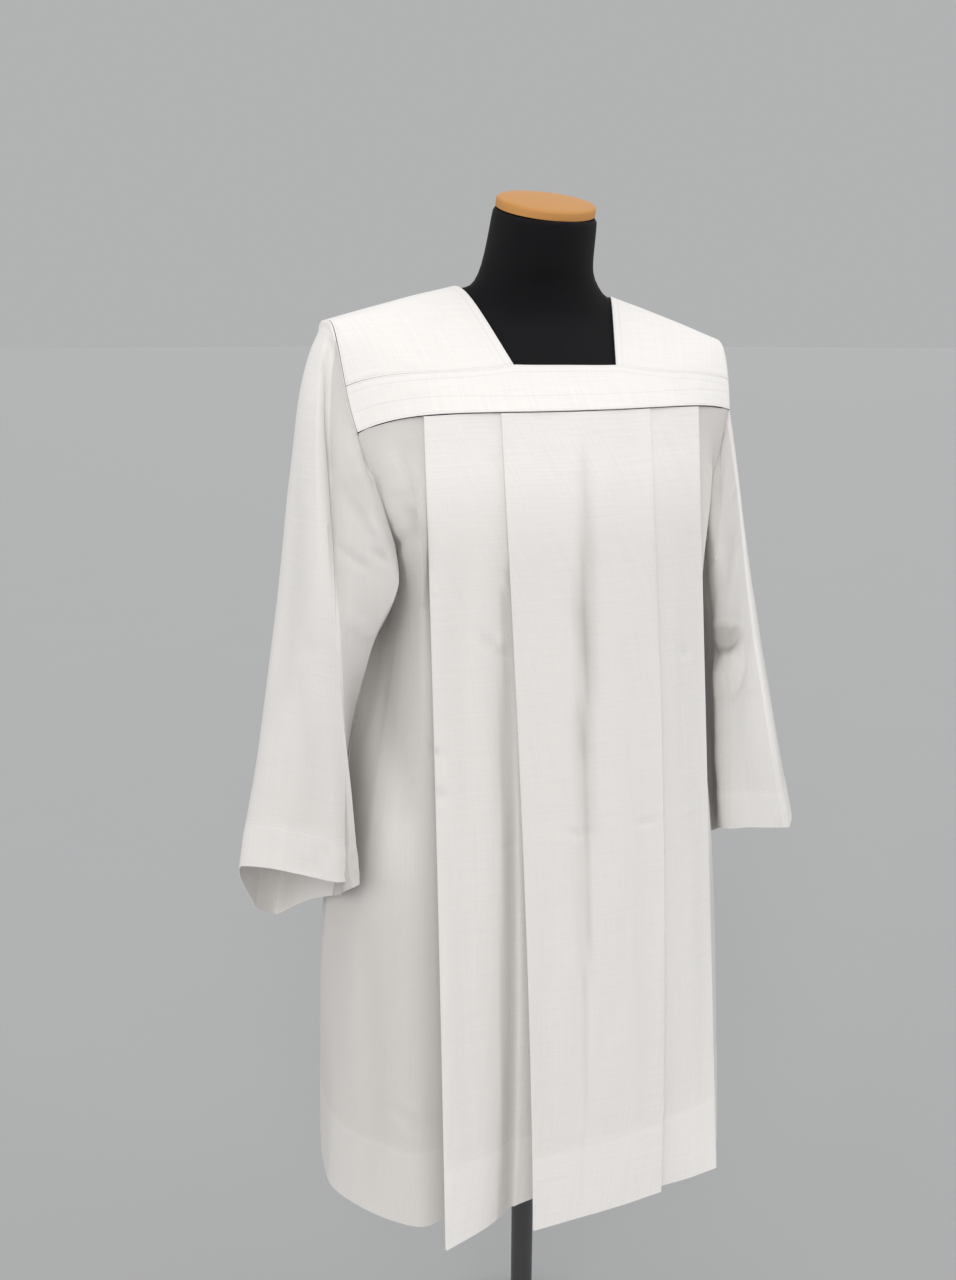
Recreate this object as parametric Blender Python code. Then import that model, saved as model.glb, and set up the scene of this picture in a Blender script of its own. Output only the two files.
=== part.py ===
"""Pleated surplice with a square yoke, hanging on a limbless dress form that stands on a round foot.

Sizes are metres. +Z is up, the garment's front faces -Y, and the wearer's left is +X.
The origin is the centre of the foot's underside, so the floor is z = 0.
"drop" is the distance below the shoulder crest beside the neck. "fore" is the distance from the shoulder line
towards the panel's own side: forward on the front, backward on the back. "hand" is 1 on the wearer's left and
-1 on the right.
"""

import math

import bmesh
import bpy
import numpy as np

LEFT, RIGHT = 1, -1

# ---------------------------------------------------------------- driving sizes
CREST_HEIGHT = 1.480  # floor to the shoulder crest beside the neck
GARMENT_DROP = 0.985  # shoulder crest to hem, which hangs level all round
CLOTH = 0.0010  # wall of the skirt and sleeves
YOKE_CLOTH = 0.0012  # wall of the yoke, which is cut double
SEAM_GAP = 0.0003
LAYER_PITCH = 0.0019  # distance from one pleat layer to the next, wall centre to wall centre
FOLD_RADIUS = LAYER_PITCH / 2

# Shoulder surface, which the yoke lies on: two slopes that meet at a rounded ridge, the shoulder line.
SHOULDER_HALF_WIDTH = 0.2241
CREST_RISE = 0.0142  # how far the shoulder line would rise above the crest at the centre
CREST_SLOPE = 0.345
CREST_ROUND = 0.080
CREST_TILT = 0.052  # the wearer's left shoulder hangs lower than the right
RIDGE_ROUND = 0.020
FALL_POWER = 0.95  # how the surface falls from the shoulder line to the seam, where 1 is a straight slope
FALL_POWER_GAIN = 1.85  # what is added at the shoulder's end, which stays high and then turns down
NORMAL_STEP = 0.0001

# Each side of the garment. seam: where the yoke's lower seam stands at the centre. seam_curve: how fast it
# curves back towards the armholes. neck: where the neck's straight edge stands. hem: share of the front's
# fullness.
SIDES = {
    "front": {"sign": -1, "seam": 0.1206, "seam_curve": 1.42, "neck": 0.081, "seam_drop": 0.112, "hem": 1.00},
    "back": {"sign": 1, "seam": 0.1240, "seam_curve": 1.46, "neck": 0.072, "seam_drop": 0.104, "hem": 0.97},
}
# Each hand. armhole_x: centre to armhole along the shoulder line. tuck_in: how far the armhole comes in from
# there to the yoke's corner. corner_drop: how far the yoke's lower seam falls on its way to that corner.
TUCK_IN_POWER = 3.5
CORNER_DROP_POWER = 6
HANDS = {
    LEFT: {"name": "left", "armhole_x": 0.2130, "tuck_in": 0.0060, "corner_drop": 0.0145},
    RIGHT: {"name": "right", "armhole_x": 0.2220, "tuck_in": 0.0129, "corner_drop": 0.0295},
}

# Yoke
NECK_CREST_X = 0.0890  # half width of the neck opening at the shoulder line
NECK_EDGE_X = 0.0565  # half width of its straight lower edge
NECK_CENTRE_BOW = 0.004  # that edge bows this far out at the centre
BAND_REACH_AT_NECK = 0.035  # how far the straight band reaches back from the lower seam, seen from above
BAND_REACH_AT_ARMHOLE = 0.0066
BAND_COLUMNS, BAND_ROWS = 26, 3
BAND_END_TRIES = 12  # rounds that bring the band's end onto the armhole
SHOULDER_ROWS = 6  # from the shoulder line to the band
SHOULDER_COLUMNS = 8  # from the neck to the armhole

# Armhole below the yoke: a Bezier curve from the yoke's corner to the underarm, with its end and two handles.
UNDERARM = (0.190, 0.0, 0.300)  # x, fore, drop
ARMHOLE_PULL = {  # x, fore, drop
    ("front", RIGHT): ((0.2120, 0.0716, 0.1694), (0.1560, 0.0992, 0.2448)),
    ("front", LEFT): ((0.1940, 0.0420, 0.1640), (0.1600, 0.1230, 0.2300)),
    ("back", RIGHT): ((0.2140, 0.0780, 0.1650), (0.1760, 0.0980, 0.2500)),
    ("back", LEFT): ((0.2060, 0.0780, 0.1600), (0.1740, 0.0980, 0.2500)),
}
PIT_STEPS = 8  # spans from the yoke's corner to the underarm

# Pleats, from the centre line outwards. One row for each line that runs from the yoke's seam to the hem.
# layer counts the thicknesses over the line at the yoke. open_x and open_fore are how far its lower end moves
# where the pleat hangs open. ease bends the line. turn is 1 on a fold, where the cloth doubles back, and out is
# the way that the fold points: 1 away from the centre, -1 towards it.
PLEAT_COLUMNS = (
    "name", "top_x", "layer", "hem_x", "hem_fore", "open_x", "open_fore", "ease", "turn", "out", "spans",
)  # fmt: skip
PLEATS = [
    ("centre", 0.0000, 0, 0.0000, 0.2070, 0.000, 0.000, 1.6, 0, 0, 3),
    ("box_edge", 0.0800, 0, 0.0820, 0.2050, -0.0065, 0.000, 1.6, 1, 1, 2),
    ("box_tuck", 0.0175, 1, 0.0200, 0.2015, 0.020, -0.040, 1.6, 1, -1, 2),
    ("knife_root", 0.0800, 2, 0.0860, 0.1985, 0.000, -0.033, 1.5, 0, 0, 2),
    ("knife_face", 0.1180, 1, 0.1250, 0.1975, 0.001, -0.015, 1.2, 0, 0, 2),
    ("knife_edge", 0.1505, 0, 0.1610, 0.1940, 0.013, 0.003, 1.0, 1, 1, 2),
    ("knife_tuck", 0.0880, 2.8, 0.1040, 0.1925, 0.022, -0.042, 1.0, 1, -1, 2),
    ("side_root", 0.1505, 2, 0.1590, 0.1885, 0.003, -0.036, 1.0, 0, 0, 1),
]
OPENING_POWER = 1.5  # how the opening grows from nothing at the yoke's seam
PLEAT_OPENING = {("front", RIGHT): 1.0, ("front", LEFT): 0.06, ("back", RIGHT): 0.35, ("back", LEFT): 0.45}

# Side of the skirt. Its lines start on the yoke's seam at YOKE_LINES, given as (x, layer), and then on the
# armhole. One row for either yoke line and for every second armhole line, with its (x, fore) at each section.
YOKE_LINES = [(0.1740, 1.0), (0.1930, 0.4)]
SECTION_DROP = {"arm": 0.245, "pit": 0.330, "thigh": 0.680, "hem": GARMENT_DROP}
SIDE_COLUMNS = ("place", *SECTION_DROP)
SIDE_SHAPE = {
    ("front", RIGHT): [
        ("yoke_inner", (0.1610, 0.0970), (0.1610, 0.1030), (0.1700, 0.1330), (0.1750, 0.1565)),
        ("yoke_outer", (0.1680, 0.0925), (0.1650, 0.0965), (0.1800, 0.1315), (0.1870, 0.1565)),
        ("corner", (0.1740, 0.0830), (0.1680, 0.0880), (0.1910, 0.1270), (0.1990, 0.1500)),
        ("upper", (0.1750, 0.0740), (0.1720, 0.0740), (0.2130, 0.1060), (0.2240, 0.1270)),
        ("middle", (0.1760, 0.0660), (0.1740, 0.0600), (0.2320, 0.0770), (0.2480, 0.0950)),
        ("lower", (0.1780, 0.0450), (0.1770, 0.0400), (0.2410, 0.0400), (0.2660, 0.0550)),
        ("side_seam", (0.1860, 0.0000), (0.1860, 0.0000), (0.2470, 0.0000), (0.2620, 0.0000)),
    ],
    ("front", LEFT): [
        ("yoke_inner", (0.1580, 0.0965), (0.1575, 0.1040), (0.1635, 0.1480), (0.1635, 0.1850)),
        ("yoke_outer", (0.1630, 0.0910), (0.1600, 0.0990), (0.1680, 0.1430), (0.1700, 0.1775)),
        ("corner", (0.1680, 0.0830), (0.1640, 0.0900), (0.1740, 0.1360), (0.1780, 0.1660)),
        ("upper", (0.1710, 0.0740), (0.1700, 0.0750), (0.1920, 0.1090), (0.2000, 0.1340)),
        ("middle", (0.1740, 0.0650), (0.1760, 0.0550), (0.2120, 0.0780), (0.2240, 0.0960)),
        ("lower", (0.1800, 0.0350), (0.1820, 0.0280), (0.2300, 0.0420), (0.2440, 0.0520)),
        ("side_seam", (0.1860, 0.0000), (0.1860, 0.0000), (0.2380, 0.0000), (0.2520, 0.0000)),
    ],
    ("back", RIGHT): [
        ("yoke_inner", (0.1620, 0.0980), (0.1600, 0.1050), (0.1640, 0.1430), (0.1700, 0.1705)),
        ("yoke_outer", (0.1700, 0.0920), (0.1660, 0.0990), (0.1730, 0.1380), (0.1800, 0.1650)),
        ("corner", (0.1780, 0.0840), (0.1710, 0.0910), (0.1830, 0.1300), (0.1900, 0.1560)),
        ("upper", (0.1820, 0.0750), (0.1780, 0.0760), (0.2070, 0.1060), (0.2120, 0.1320)),
        ("middle", (0.1830, 0.0660), (0.1830, 0.0550), (0.2280, 0.0770), (0.2320, 0.1000)),
        ("lower", (0.1850, 0.0350), (0.1860, 0.0280), (0.2390, 0.0420), (0.2500, 0.0540)),
        ("side_seam", (0.1870, 0.0000), (0.1880, 0.0000), (0.2470, 0.0000), (0.2620, 0.0000)),
    ],
    ("back", LEFT): [
        ("yoke_inner", (0.1600, 0.0980), (0.1590, 0.1050), (0.1630, 0.1410), (0.1700, 0.1670)),
        ("yoke_outer", (0.1670, 0.0920), (0.1640, 0.0990), (0.1710, 0.1360), (0.1790, 0.1620)),
        ("corner", (0.1740, 0.0840), (0.1680, 0.0910), (0.1800, 0.1290), (0.1880, 0.1530)),
        ("upper", (0.1780, 0.0750), (0.1750, 0.0760), (0.2030, 0.1040), (0.2090, 0.1280)),
        ("middle", (0.1800, 0.0660), (0.1810, 0.0550), (0.2220, 0.0750), (0.2310, 0.0920)),
        ("lower", (0.1830, 0.0350), (0.1840, 0.0280), (0.2330, 0.0400), (0.2470, 0.0500)),
        ("side_seam", (0.1860, 0.0000), (0.1860, 0.0000), (0.2380, 0.0000), (0.2520, 0.0000)),
    ],
}
SECTION_CLEARANCE = 0.030  # a line skips a section that is less than this below its top
ARM_FOLD = {"fore": 0.012, "drop": 0.205, "reach": 0.080}  # soft fold down the first yoke line of the front
SKIRT_ROWS = 13
SKIRT_ROW_POWER = 1.15
HANGING_ROUNDNESS = 0.8  # of a line that has no fold on it

# Sleeves. One row for each line from armhole to cuff: its place (x, y, drop) at the sleeve head, the upper arm,
# the elbow and the cuff. round is 0 for a pressed crease and 1 for a soft curve. spans is the number of mesh
# spans to the next line, and they add up to the spans of the armhole.
SLEEVE_COLUMNS = ("name", "head", "upper", "elbow", "cuff", "round", "spans")
SLEEVE_LINES = {
    RIGHT: [
        ("outer", (0.2400, 0.000, 0.060), (0.2540, 0.002, 0.118), (0.2870, 0.006, 0.350),
         (0.3370, -0.006, 0.594), 0.80, 3),
        ("crease", (0.2340, -0.031, 0.068), (0.2440, -0.054, 0.140), (0.2470, -0.100, 0.345),
         (0.2350, -0.102, 0.590), 0.10, 10),
        ("fold", (0.1820, -0.084, 0.242), (0.1840, -0.098, 0.276), (0.2130, -0.088, 0.358),
         (0.2370, -0.072, 0.612), 0.50, 4),
        ("under", (0.1990, 0.000, 0.322), (0.2080, 0.002, 0.352), (0.2320, 0.004, 0.440),
         (0.2640, 0.012, 0.658), 0.90, 4),
        ("back_fold", (0.2000, 0.084, 0.242), (0.2080, 0.092, 0.280), (0.2360, 0.094, 0.400),
         (0.2880, 0.080, 0.706), 0.60, 10),
        ("back_crease", (0.2320, 0.034, 0.068), (0.2440, 0.058, 0.150), (0.2660, 0.084, 0.372),
         (0.3140, 0.056, 0.680), 0.35, 3),
    ],
    LEFT: [
        ("outer", (0.2290, 0.000, 0.078), (0.2420, 0.002, 0.124), (0.2880, -0.010, 0.360),
         (0.3470, -0.032, 0.628), 0.80, 3),
        ("crease", (0.2160, -0.028, 0.084), (0.2170, -0.052, 0.140), (0.2410, -0.084, 0.352),
         (0.3100, -0.086, 0.622), 0.35, 10),
        ("fold", (0.1790, -0.082, 0.240), (0.1810, -0.095, 0.275), (0.1960, -0.092, 0.358),
         (0.2180, -0.090, 0.604), 0.45, 4),
        ("under", (0.1980, 0.000, 0.322), (0.2060, 0.002, 0.352), (0.2280, 0.004, 0.440),
         (0.2560, 0.000, 0.655), 0.90, 4),
        ("back_fold", (0.1980, 0.082, 0.240), (0.2060, 0.090, 0.280), (0.2340, 0.090, 0.400),
         (0.2840, 0.070, 0.690), 0.60, 10),
        ("back_crease", (0.2220, 0.034, 0.088), (0.2360, 0.056, 0.150), (0.2680, 0.074, 0.372),
         (0.3300, 0.036, 0.668), 0.35, 3),
    ],
}  # fmt: skip
SLEEVE_STATIONS = {"armhole": 0.0, "head": 0.07, "upper": 0.16, "elbow": 0.52, "cuff": 1.0}
SLEEVE_ROWS = 13
SLEEVE_ROW_POWER = 1.3

# Dress form
FORM_GAP = 0.0015  # from the form to the yoke that lies on it, before both are cut into facets
FORM_SHOULDER = (0.203, 0.104, 2.35)  # half width, half depth and squareness of the shoulders seen from above
FORM_RING_POINTS = 40
FORM_TOP_SHARES = (1.0, 0.90, 0.78, 0.64, 0.51, 0.405)  # rings over the shoulders, as shares of their outline
FORM_BODY_COLUMNS = ("drop", "half_width", "half_depth", "squareness")
FORM_BODY = [
    (0.715, 0.150, 0.100, 2.3),
    (0.690, 0.163, 0.112, 2.3),
    (0.600, 0.168, 0.114, 2.3),
    (0.500, 0.156, 0.103, 2.3),
    (0.420, 0.150, 0.100, 2.3),
    (0.320, 0.158, 0.104, 2.3),
    (0.240, 0.168, 0.104, 2.4),
    (0.175, 0.182, 0.101, 2.5),
]
NECK_COLUMNS = ("rise", "half_width", "half_depth", "centre_y", "tilt")
NECK_RINGS = [  # tilt is the share of the tilt at the neck's top
    (0.0060, 0.0700, 0.0480, -0.002, -0.35),
    (0.0180, 0.0610, 0.0520, -0.006, 0.10),
    (0.0360, 0.0565, 0.0545, -0.012, 0.45),
    (0.0580, 0.0540, 0.0545, -0.020, 0.80),
    (0.0765, 0.0528, 0.0535, -0.026, 1.00),
    (0.0795, 0.0500, 0.0505, -0.027, 1.00),
]
NECK_TILT = math.radians(16.5)  # the neck's top faces forward by this much
CAP_RADIUS = 0.0505
CAP_THICKNESS = 0.0090
CAP_EDGE_ROUND = 0.0030
ROD_RADIUS = 0.0140
SOCKET_RADIUS = 0.0260
SOCKET_HEIGHT = 0.0600
FOOT_RADIUS = 0.1900
FOOT_THICKNESS = 0.0160
FOOT_EDGE_ROUND = 0.0040
ROUND_SIDES = 32

SHARP_ANGLE = {"cloth": 60, "form": 75, "turned": 40}  # degrees; a sharper edge isn't shaded smooth

MATERIALS = {  # colour, roughness, metallic
    "white_cloth": ((0.86, 0.86, 0.85), 0.80, 0.0),
    "black_jersey": ((0.012, 0.012, 0.014), 0.92, 0.0),
    "varnished_wood": ((0.58, 0.27, 0.07), 0.30, 0.0),
    "black_steel": ((0.030, 0.030, 0.032), 0.42, 0.6),
}


# ---------------------------------------------------------------- small tools
def rows_of(columns, table):
    """The rows of a table as dictionaries."""
    return [dict(zip(columns, row)) for row in table]


def lerp(a, b, t):
    return a + (b - a) * t


def blend(points, tangents, u):
    """The cubic between two points at share u, with the tangent at each."""
    a, b = 2 * u**3 - 3 * u**2 + 1, u**3 - 2 * u**2 + u
    c, d = -2 * u**3 + 3 * u**2, u**3 - u**2
    return a * points[0] + b * tangents[0] + c * points[1] + d * tangents[1]


def through(keys, values, t):
    """The smooth curve through values, given at the keys, at t."""
    values = [np.array(value, float) for value in values]
    i = min(max(int(np.searchsorted(keys, t, side="right")) - 1, 0), len(keys) - 2)
    width = keys[i + 1] - keys[i]

    def slope(j):
        low, high = max(j - 1, 0), min(j + 1, len(keys) - 1)
        return (values[high] - values[low]) / (keys[high] - keys[low])

    return blend(values[i : i + 2], (width * slope(i), width * slope(i + 1)), (t - keys[i]) / width)


def line_through(points, roundness, spans, closed):
    """A line of mesh points through the given points: a corner at roundness 0, a smooth curve at 1."""
    count = len(points)
    gaps = [np.linalg.norm(points[(i + 1) % count] - points[i]) for i in range(count)]

    def heading(i):
        before, after = (i - 1) % count, (i + 1) % count
        if not closed and i in (0, count - 1):
            return None
        return (points[after] - points[before]) / (gaps[before] + gaps[i])

    made = []
    for i in range(count if closed else count - 1):
        j = (i + 1) % count
        chord = points[j] - points[i]
        tangents = []
        for k in (i, j):
            smooth = heading(k)
            tangents.append(chord if smooth is None else lerp(chord, smooth * gaps[i], roundness[k]))
        for k in range(spans[i]):
            made.append(blend((points[i], points[j]), tangents, k / spans[i]))
    if not closed:
        made.append(points[-1])
    return np.array(made)


def grid_normals(grid, closed):
    """Unit normals of a grid of points, rows by columns."""
    if closed:
        across = np.roll(grid, -1, axis=1) - np.roll(grid, 1, axis=1)
    else:
        across = np.gradient(grid, axis=1)
    normal = np.cross(across, np.gradient(grid, axis=0))
    return normal / np.linalg.norm(normal, axis=2, keepdims=True)


# ---------------------------------------------------------------- blender objects
def material(name):
    made = bpy.data.materials.get(name)
    if made:
        return made
    colour, roughness, metallic = MATERIALS[name]
    made = bpy.data.materials.new(name)
    made.use_nodes = True
    shader = made.node_tree.nodes["Principled BSDF"]
    shader.inputs["Base Color"].default_value = (*colour, 1)
    shader.inputs["Roughness"].default_value = roughness
    shader.inputs["Metallic"].default_value = metallic
    return made


def mesh_object(name, points, faces, finish, sharp_angle):
    """A mesh object with its normals facing out, smooth but for its sharp edges."""
    mesh = bpy.data.meshes.new(name)
    mesh.from_pydata([tuple(p) for p in points], [], faces)
    shape = bmesh.new()
    shape.from_mesh(mesh)
    bmesh.ops.recalc_face_normals(shape, faces=shape.faces)
    if shape.calc_volume(signed=True) < 0:
        bmesh.ops.reverse_faces(shape, faces=shape.faces)
    bmesh.ops.triangulate(shape, faces=shape.faces)
    shape.to_mesh(mesh)
    shape.free()
    mesh.shade_smooth()
    mesh.set_sharp_from_angle(angle=math.radians(sharp_angle))
    mesh.materials.append(material(finish))
    made = bpy.data.objects.new(name, mesh)
    bpy.context.scene.collection.objects.link(made)
    return made


def cloth_wall(name, grid, thickness, closed=False):
    """A closed wall of cloth on a grid of centre points: rows run down the piece, columns run across it."""
    grid = np.array(grid, float)
    rows, columns = grid.shape[:2]
    half = grid_normals(grid, closed) * thickness / 2
    points = np.concatenate([(grid + half).reshape(-1, 3), (grid - half).reshape(-1, 3)])
    faces = []

    def at(row, column, side):
        return (side * rows + row) * columns + column % columns

    spans = columns if closed else columns - 1
    for c in range(spans):
        for r in range(rows - 1):
            for side in (0, 1):
                faces.append((at(r, c, side), at(r, c + 1, side), at(r + 1, c + 1, side), at(r + 1, c, side)))
        for r in (0, rows - 1):
            faces.append((at(r, c, 0), at(r, c + 1, 0), at(r, c + 1, 1), at(r, c, 1)))
    if not closed:
        for r in range(rows - 1):
            for c in (0, columns - 1):
                faces.append((at(r, c, 0), at(r + 1, c, 0), at(r + 1, c, 1), at(r, c, 1)))
    return mesh_object(name, points, faces, "white_cloth", SHARP_ANGLE["cloth"])


def ring_body(name, rings, finish, sharp_angle):
    """A closed body through rings of points, with both ends capped."""
    rings = np.array(rings, float)
    count, sides = rings.shape[:2]
    faces = [tuple(reversed(range(sides)))]
    for r in range(count - 1):
        for s in range(sides):
            t = (s + 1) % sides
            faces.append((r * sides + s, r * sides + t, (r + 1) * sides + t, (r + 1) * sides + s))
    faces.append(tuple((count - 1) * sides + s for s in range(sides)))
    return mesh_object(name, rings.reshape(-1, 3), faces, finish, sharp_angle)


# ---------------------------------------------------------------- the shoulder surface
def seam_fore(side, x):
    """How far the yoke's lower seam stands from the shoulder line at x."""
    return SIDES[side]["seam"] - SIDES[side]["seam_curve"] * x * x


def seam_drop(side, x):
    hand = LEFT if x > 0 else RIGHT
    share = abs(x) / SHOULDER_HALF_WIDTH
    return SIDES[side]["seam_drop"] + HANDS[hand]["corner_drop"] * share**CORNER_DROP_POWER


def crest_drop(x):
    """Drop of the shoulder line at x."""
    return CREST_SLOPE * (math.hypot(x, CREST_ROUND) - CREST_ROUND) - CREST_RISE + CREST_TILT * x


def shoulder_point(side, x, fore, lift=0.0):
    """A point of the surface that the yoke lies on, moved out along its normal by lift."""

    def height(u, v):
        top, bottom = crest_drop(u), seam_drop(side, u)
        reach = math.hypot(seam_fore(side, u), RIDGE_ROUND) - RIDGE_ROUND
        share = (math.hypot(v, RIDGE_ROUND) - RIDGE_ROUND) / reach
        power = FALL_POWER + FALL_POWER_GAIN * (abs(u) / SHOULDER_HALF_WIDTH) ** 3
        return CREST_HEIGHT - lerp(top, bottom, share**power)

    step = NORMAL_STEP
    sign = SIDES[side]["sign"]
    slope_x = (height(x + step, fore) - height(x - step, fore)) / (2 * step)
    slope_fore = (height(x, fore + step) - height(x, fore - step)) / (2 * step)
    normal = np.array([-slope_x, -slope_fore * sign, 1.0])
    return np.array([x, sign * fore, height(x, fore)]) + lift * normal / np.linalg.norm(normal)


def garment_point(side, hand, x, fore, drop):
    """A point from its distance to the centre, its fore and its drop."""
    return hand_point(hand, x, SIDES[side]["sign"] * fore, drop)


def hand_point(hand, x, y, drop):
    """A point from its distance to the centre, its y and its drop."""
    return np.array([hand * x, y, CREST_HEIGHT - drop])


# ---------------------------------------------------------------- armhole
def corner(side, hand):
    """Where the yoke's lower corner stands: x and fore."""
    x = HANDS[hand]["armhole_x"] - HANDS[hand]["tuck_in"]
    return x, seam_fore(side, x)


def armhole_x(side, hand, fore):
    """Half width of the yoke at this distance from the shoulder line."""
    share = fore / corner(side, hand)[1]
    return HANDS[hand]["armhole_x"] - HANDS[hand]["tuck_in"] * share**TUCK_IN_POWER


def band_reach(x):
    """How far the band reaches back from the lower seam, at this distance from the centre."""
    share = max(0.0, x - NECK_EDGE_X) / (SHOULDER_HALF_WIDTH - NECK_EDGE_X)
    return lerp(BAND_REACH_AT_NECK, BAND_REACH_AT_ARMHOLE, share)


def band_top(side, x):
    """How far the band's upper seam stands from the shoulder line at x."""
    past_neck = max(abs(x), NECK_EDGE_X)
    bow = NECK_CENTRE_BOW * max(0.0, 1 - (x / NECK_EDGE_X) ** 2)
    return seam_fore(side, past_neck) - band_reach(past_neck) + bow


def band_end(side, hand, share):
    """A point of the band's end, as x and fore: share 0 at its upper seam and 1 at the yoke's corner."""
    x, fore = corner(side, hand)
    for _ in range(BAND_END_TRIES):
        fore = lerp(band_top(side, x), seam_fore(side, x), share)
        x = armhole_x(side, hand, fore)
    return x, fore


def armhole_half(side, hand, lift):
    """The armhole's points from the shoulder line to the underarm."""
    made = []
    top_fore = band_end(side, hand, 0)[1]
    for k in range(SHOULDER_ROWS):
        fore = top_fore * k / SHOULDER_ROWS
        made.append(shoulder_point(side, hand * armhole_x(side, hand, fore), fore, lift))
    for k in range(BAND_ROWS + 1):
        x, fore = band_end(side, hand, k / BAND_ROWS)
        made.append(shoulder_point(side, hand * x, fore, lift))
    pulls = [garment_point(side, hand, *pull) for pull in ARMHOLE_PULL[(side, hand)]]
    end = garment_point(side, hand, *UNDERARM)
    start = made[-1]
    for k in range(1, PIT_STEPS + 1):
        t = k / PIT_STEPS
        weights = ((1 - t) ** 3, 3 * t * (1 - t) ** 2, 3 * t * t * (1 - t), t**3)
        made.append(weights[0] * start + weights[1] * pulls[0] + weights[2] * pulls[1] + weights[3] * end)
    return made


def armhole_loop(hand, lift):
    """The whole armhole: down its front from the shoulder line, and back up its back."""
    front, back = armhole_half("front", hand, lift), armhole_half("back", hand, lift)
    return np.array(front + back[-2:0:-1])


# ---------------------------------------------------------------- skirt panels
def pleat_line(side, hand, row, s):
    """A point of one pleat line at share s of the way from the yoke's seam to the hem."""
    opening = PLEAT_OPENING[(side, hand)] * s**OPENING_POWER
    top_x = row["top_x"]
    top_fore = seam_fore(side, top_x) - row["layer"] * LAYER_PITCH
    top_drop = seam_drop(side, hand * top_x) + SEAM_GAP + CLOTH
    hang = 1 - (1 - s) ** row["ease"]
    x = lerp(top_x, row["hem_x"], s) + row["open_x"] * opening
    fore = lerp(top_fore, row["hem_fore"] * SIDES[side]["hem"], hang) + row["open_fore"] * opening
    return garment_point(side, hand, x, fore, lerp(top_drop, GARMENT_DROP, s))


def fold(side, hand, point, out):
    """Three points round a fold, from the layer that arrives to the layer that leaves."""
    inward = np.array([0, -SIDES[side]["sign"] * FOLD_RADIUS, 0])
    tip = np.array([hand * out * FOLD_RADIUS, 0, 0])
    return [point, point + tip + inward, point + 2 * inward]


def side_tops(side, hand):
    """Where the side's lines start: first on the yoke's seam, then on the armhole."""
    tops = []
    for x, layer in YOKE_LINES:
        fore = seam_fore(side, x) - layer * LAYER_PITCH
        tops.append(garment_point(side, hand, x, fore, seam_drop(side, hand * x) + SEAM_GAP + CLOTH))
    return tops + armhole_half(side, hand, 0.0)[SHOULDER_ROWS + BAND_ROWS :]


def side_line(side, hand, k, top, s):
    """A point of the side's line number k, which starts at top, at share s of the way to the hem."""
    yoke_lines = len(YOKE_LINES)
    place = min(k, yoke_lines + (k - yoke_lines) / 2)
    at_side_seam = k == yoke_lines + PIT_STEPS
    shape = rows_of(SIDE_COLUMNS, SIDE_SHAPE[(side, hand)])
    places, drops = [], []
    for section, section_drop in SECTION_DROP.items():
        if section_drop < CREST_HEIGHT - top[2] + SECTION_CLEARANCE:
            continue
        x, fore = through(range(len(shape)), [row[section] for row in shape], place)
        if at_side_seam:
            fore = (SEAM_GAP + CLOTH) / 2
        places.append(garment_point(side, hand, x, fore, section_drop))
        drops.append(section_drop)
    if k >= yoke_lines:
        away = places[0] - top
        top = top + away / np.linalg.norm(away) * (SEAM_GAP + CLOTH)
    if at_side_seam:
        top[1] = places[0][1]
    drops.insert(0, CREST_HEIGHT - top[2])
    drop = lerp(drops[0], GARMENT_DROP, s)
    point = through(drops, [top] + places, drop)
    point[2] = CREST_HEIGHT - drop
    if side == "front" and k == 0:
        near = math.exp(-(((drop - ARM_FOLD["drop"]) / ARM_FOLD["reach"]) ** 2))
        point[1] += SIDES[side]["sign"] * ARM_FOLD["fore"] * near * min(1.0, s * SKIRT_ROWS)
    return point


def skirt_half(side, hand, s):
    """Half a row of a skirt panel, from the centre line to the side seam."""
    points, roundness, spans = [], [], []
    for row in rows_of(PLEAT_COLUMNS, PLEATS):
        point = pleat_line(side, hand, row, s)
        turned = fold(side, hand, point, row["out"]) if row["turn"] else [point]
        points += turned
        roundness += [0.0 if row["turn"] else HANGING_ROUNDNESS] * len(turned)
        spans += [1] * (len(turned) - 1) + [row["spans"]]
    for k, top in enumerate(side_tops(side, hand)):
        points.append(side_line(side, hand, k, top, s))
        roundness.append(HANGING_ROUNDNESS)
        spans.append(1)
    return line_through(points, roundness, spans, closed=False)


def skirt_panel(side):
    grid = []
    for r in range(SKIRT_ROWS + 1):
        s = (r / SKIRT_ROWS) ** SKIRT_ROW_POWER
        left, right = skirt_half(side, LEFT, s), skirt_half(side, RIGHT, s)
        grid.append(np.concatenate([right[::-1], left[1:]]))
    return cloth_wall(f"skirt_{side}", grid, CLOTH)


# ---------------------------------------------------------------- yoke
def neck_x(side, fore):
    """Half width of the neck opening at this distance from the shoulder line."""
    return lerp(NECK_CREST_X, NECK_EDGE_X, fore / SIDES[side]["neck"])


def yoke_band(side):
    """The straight band between the neck's lower edge and the pleats."""
    grid = []
    for r in range(BAND_ROWS + 1):
        row = []
        share = r / BAND_ROWS
        for c in range(BAND_COLUMNS + 1):
            u = math.sin(math.pi * (c / BAND_COLUMNS - 0.5))
            hand = LEFT if u > 0 else RIGHT
            x = u * (band_end(side, hand, share)[0] - SEAM_GAP)
            fore = lerp(band_top(side, x) + SEAM_GAP, seam_fore(side, x), share)
            row.append(shoulder_point(side, x, fore, YOKE_CLOTH / 2))
        grid.append(row)
    return cloth_wall(f"yoke_band_{side}", grid, YOKE_CLOTH)


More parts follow.
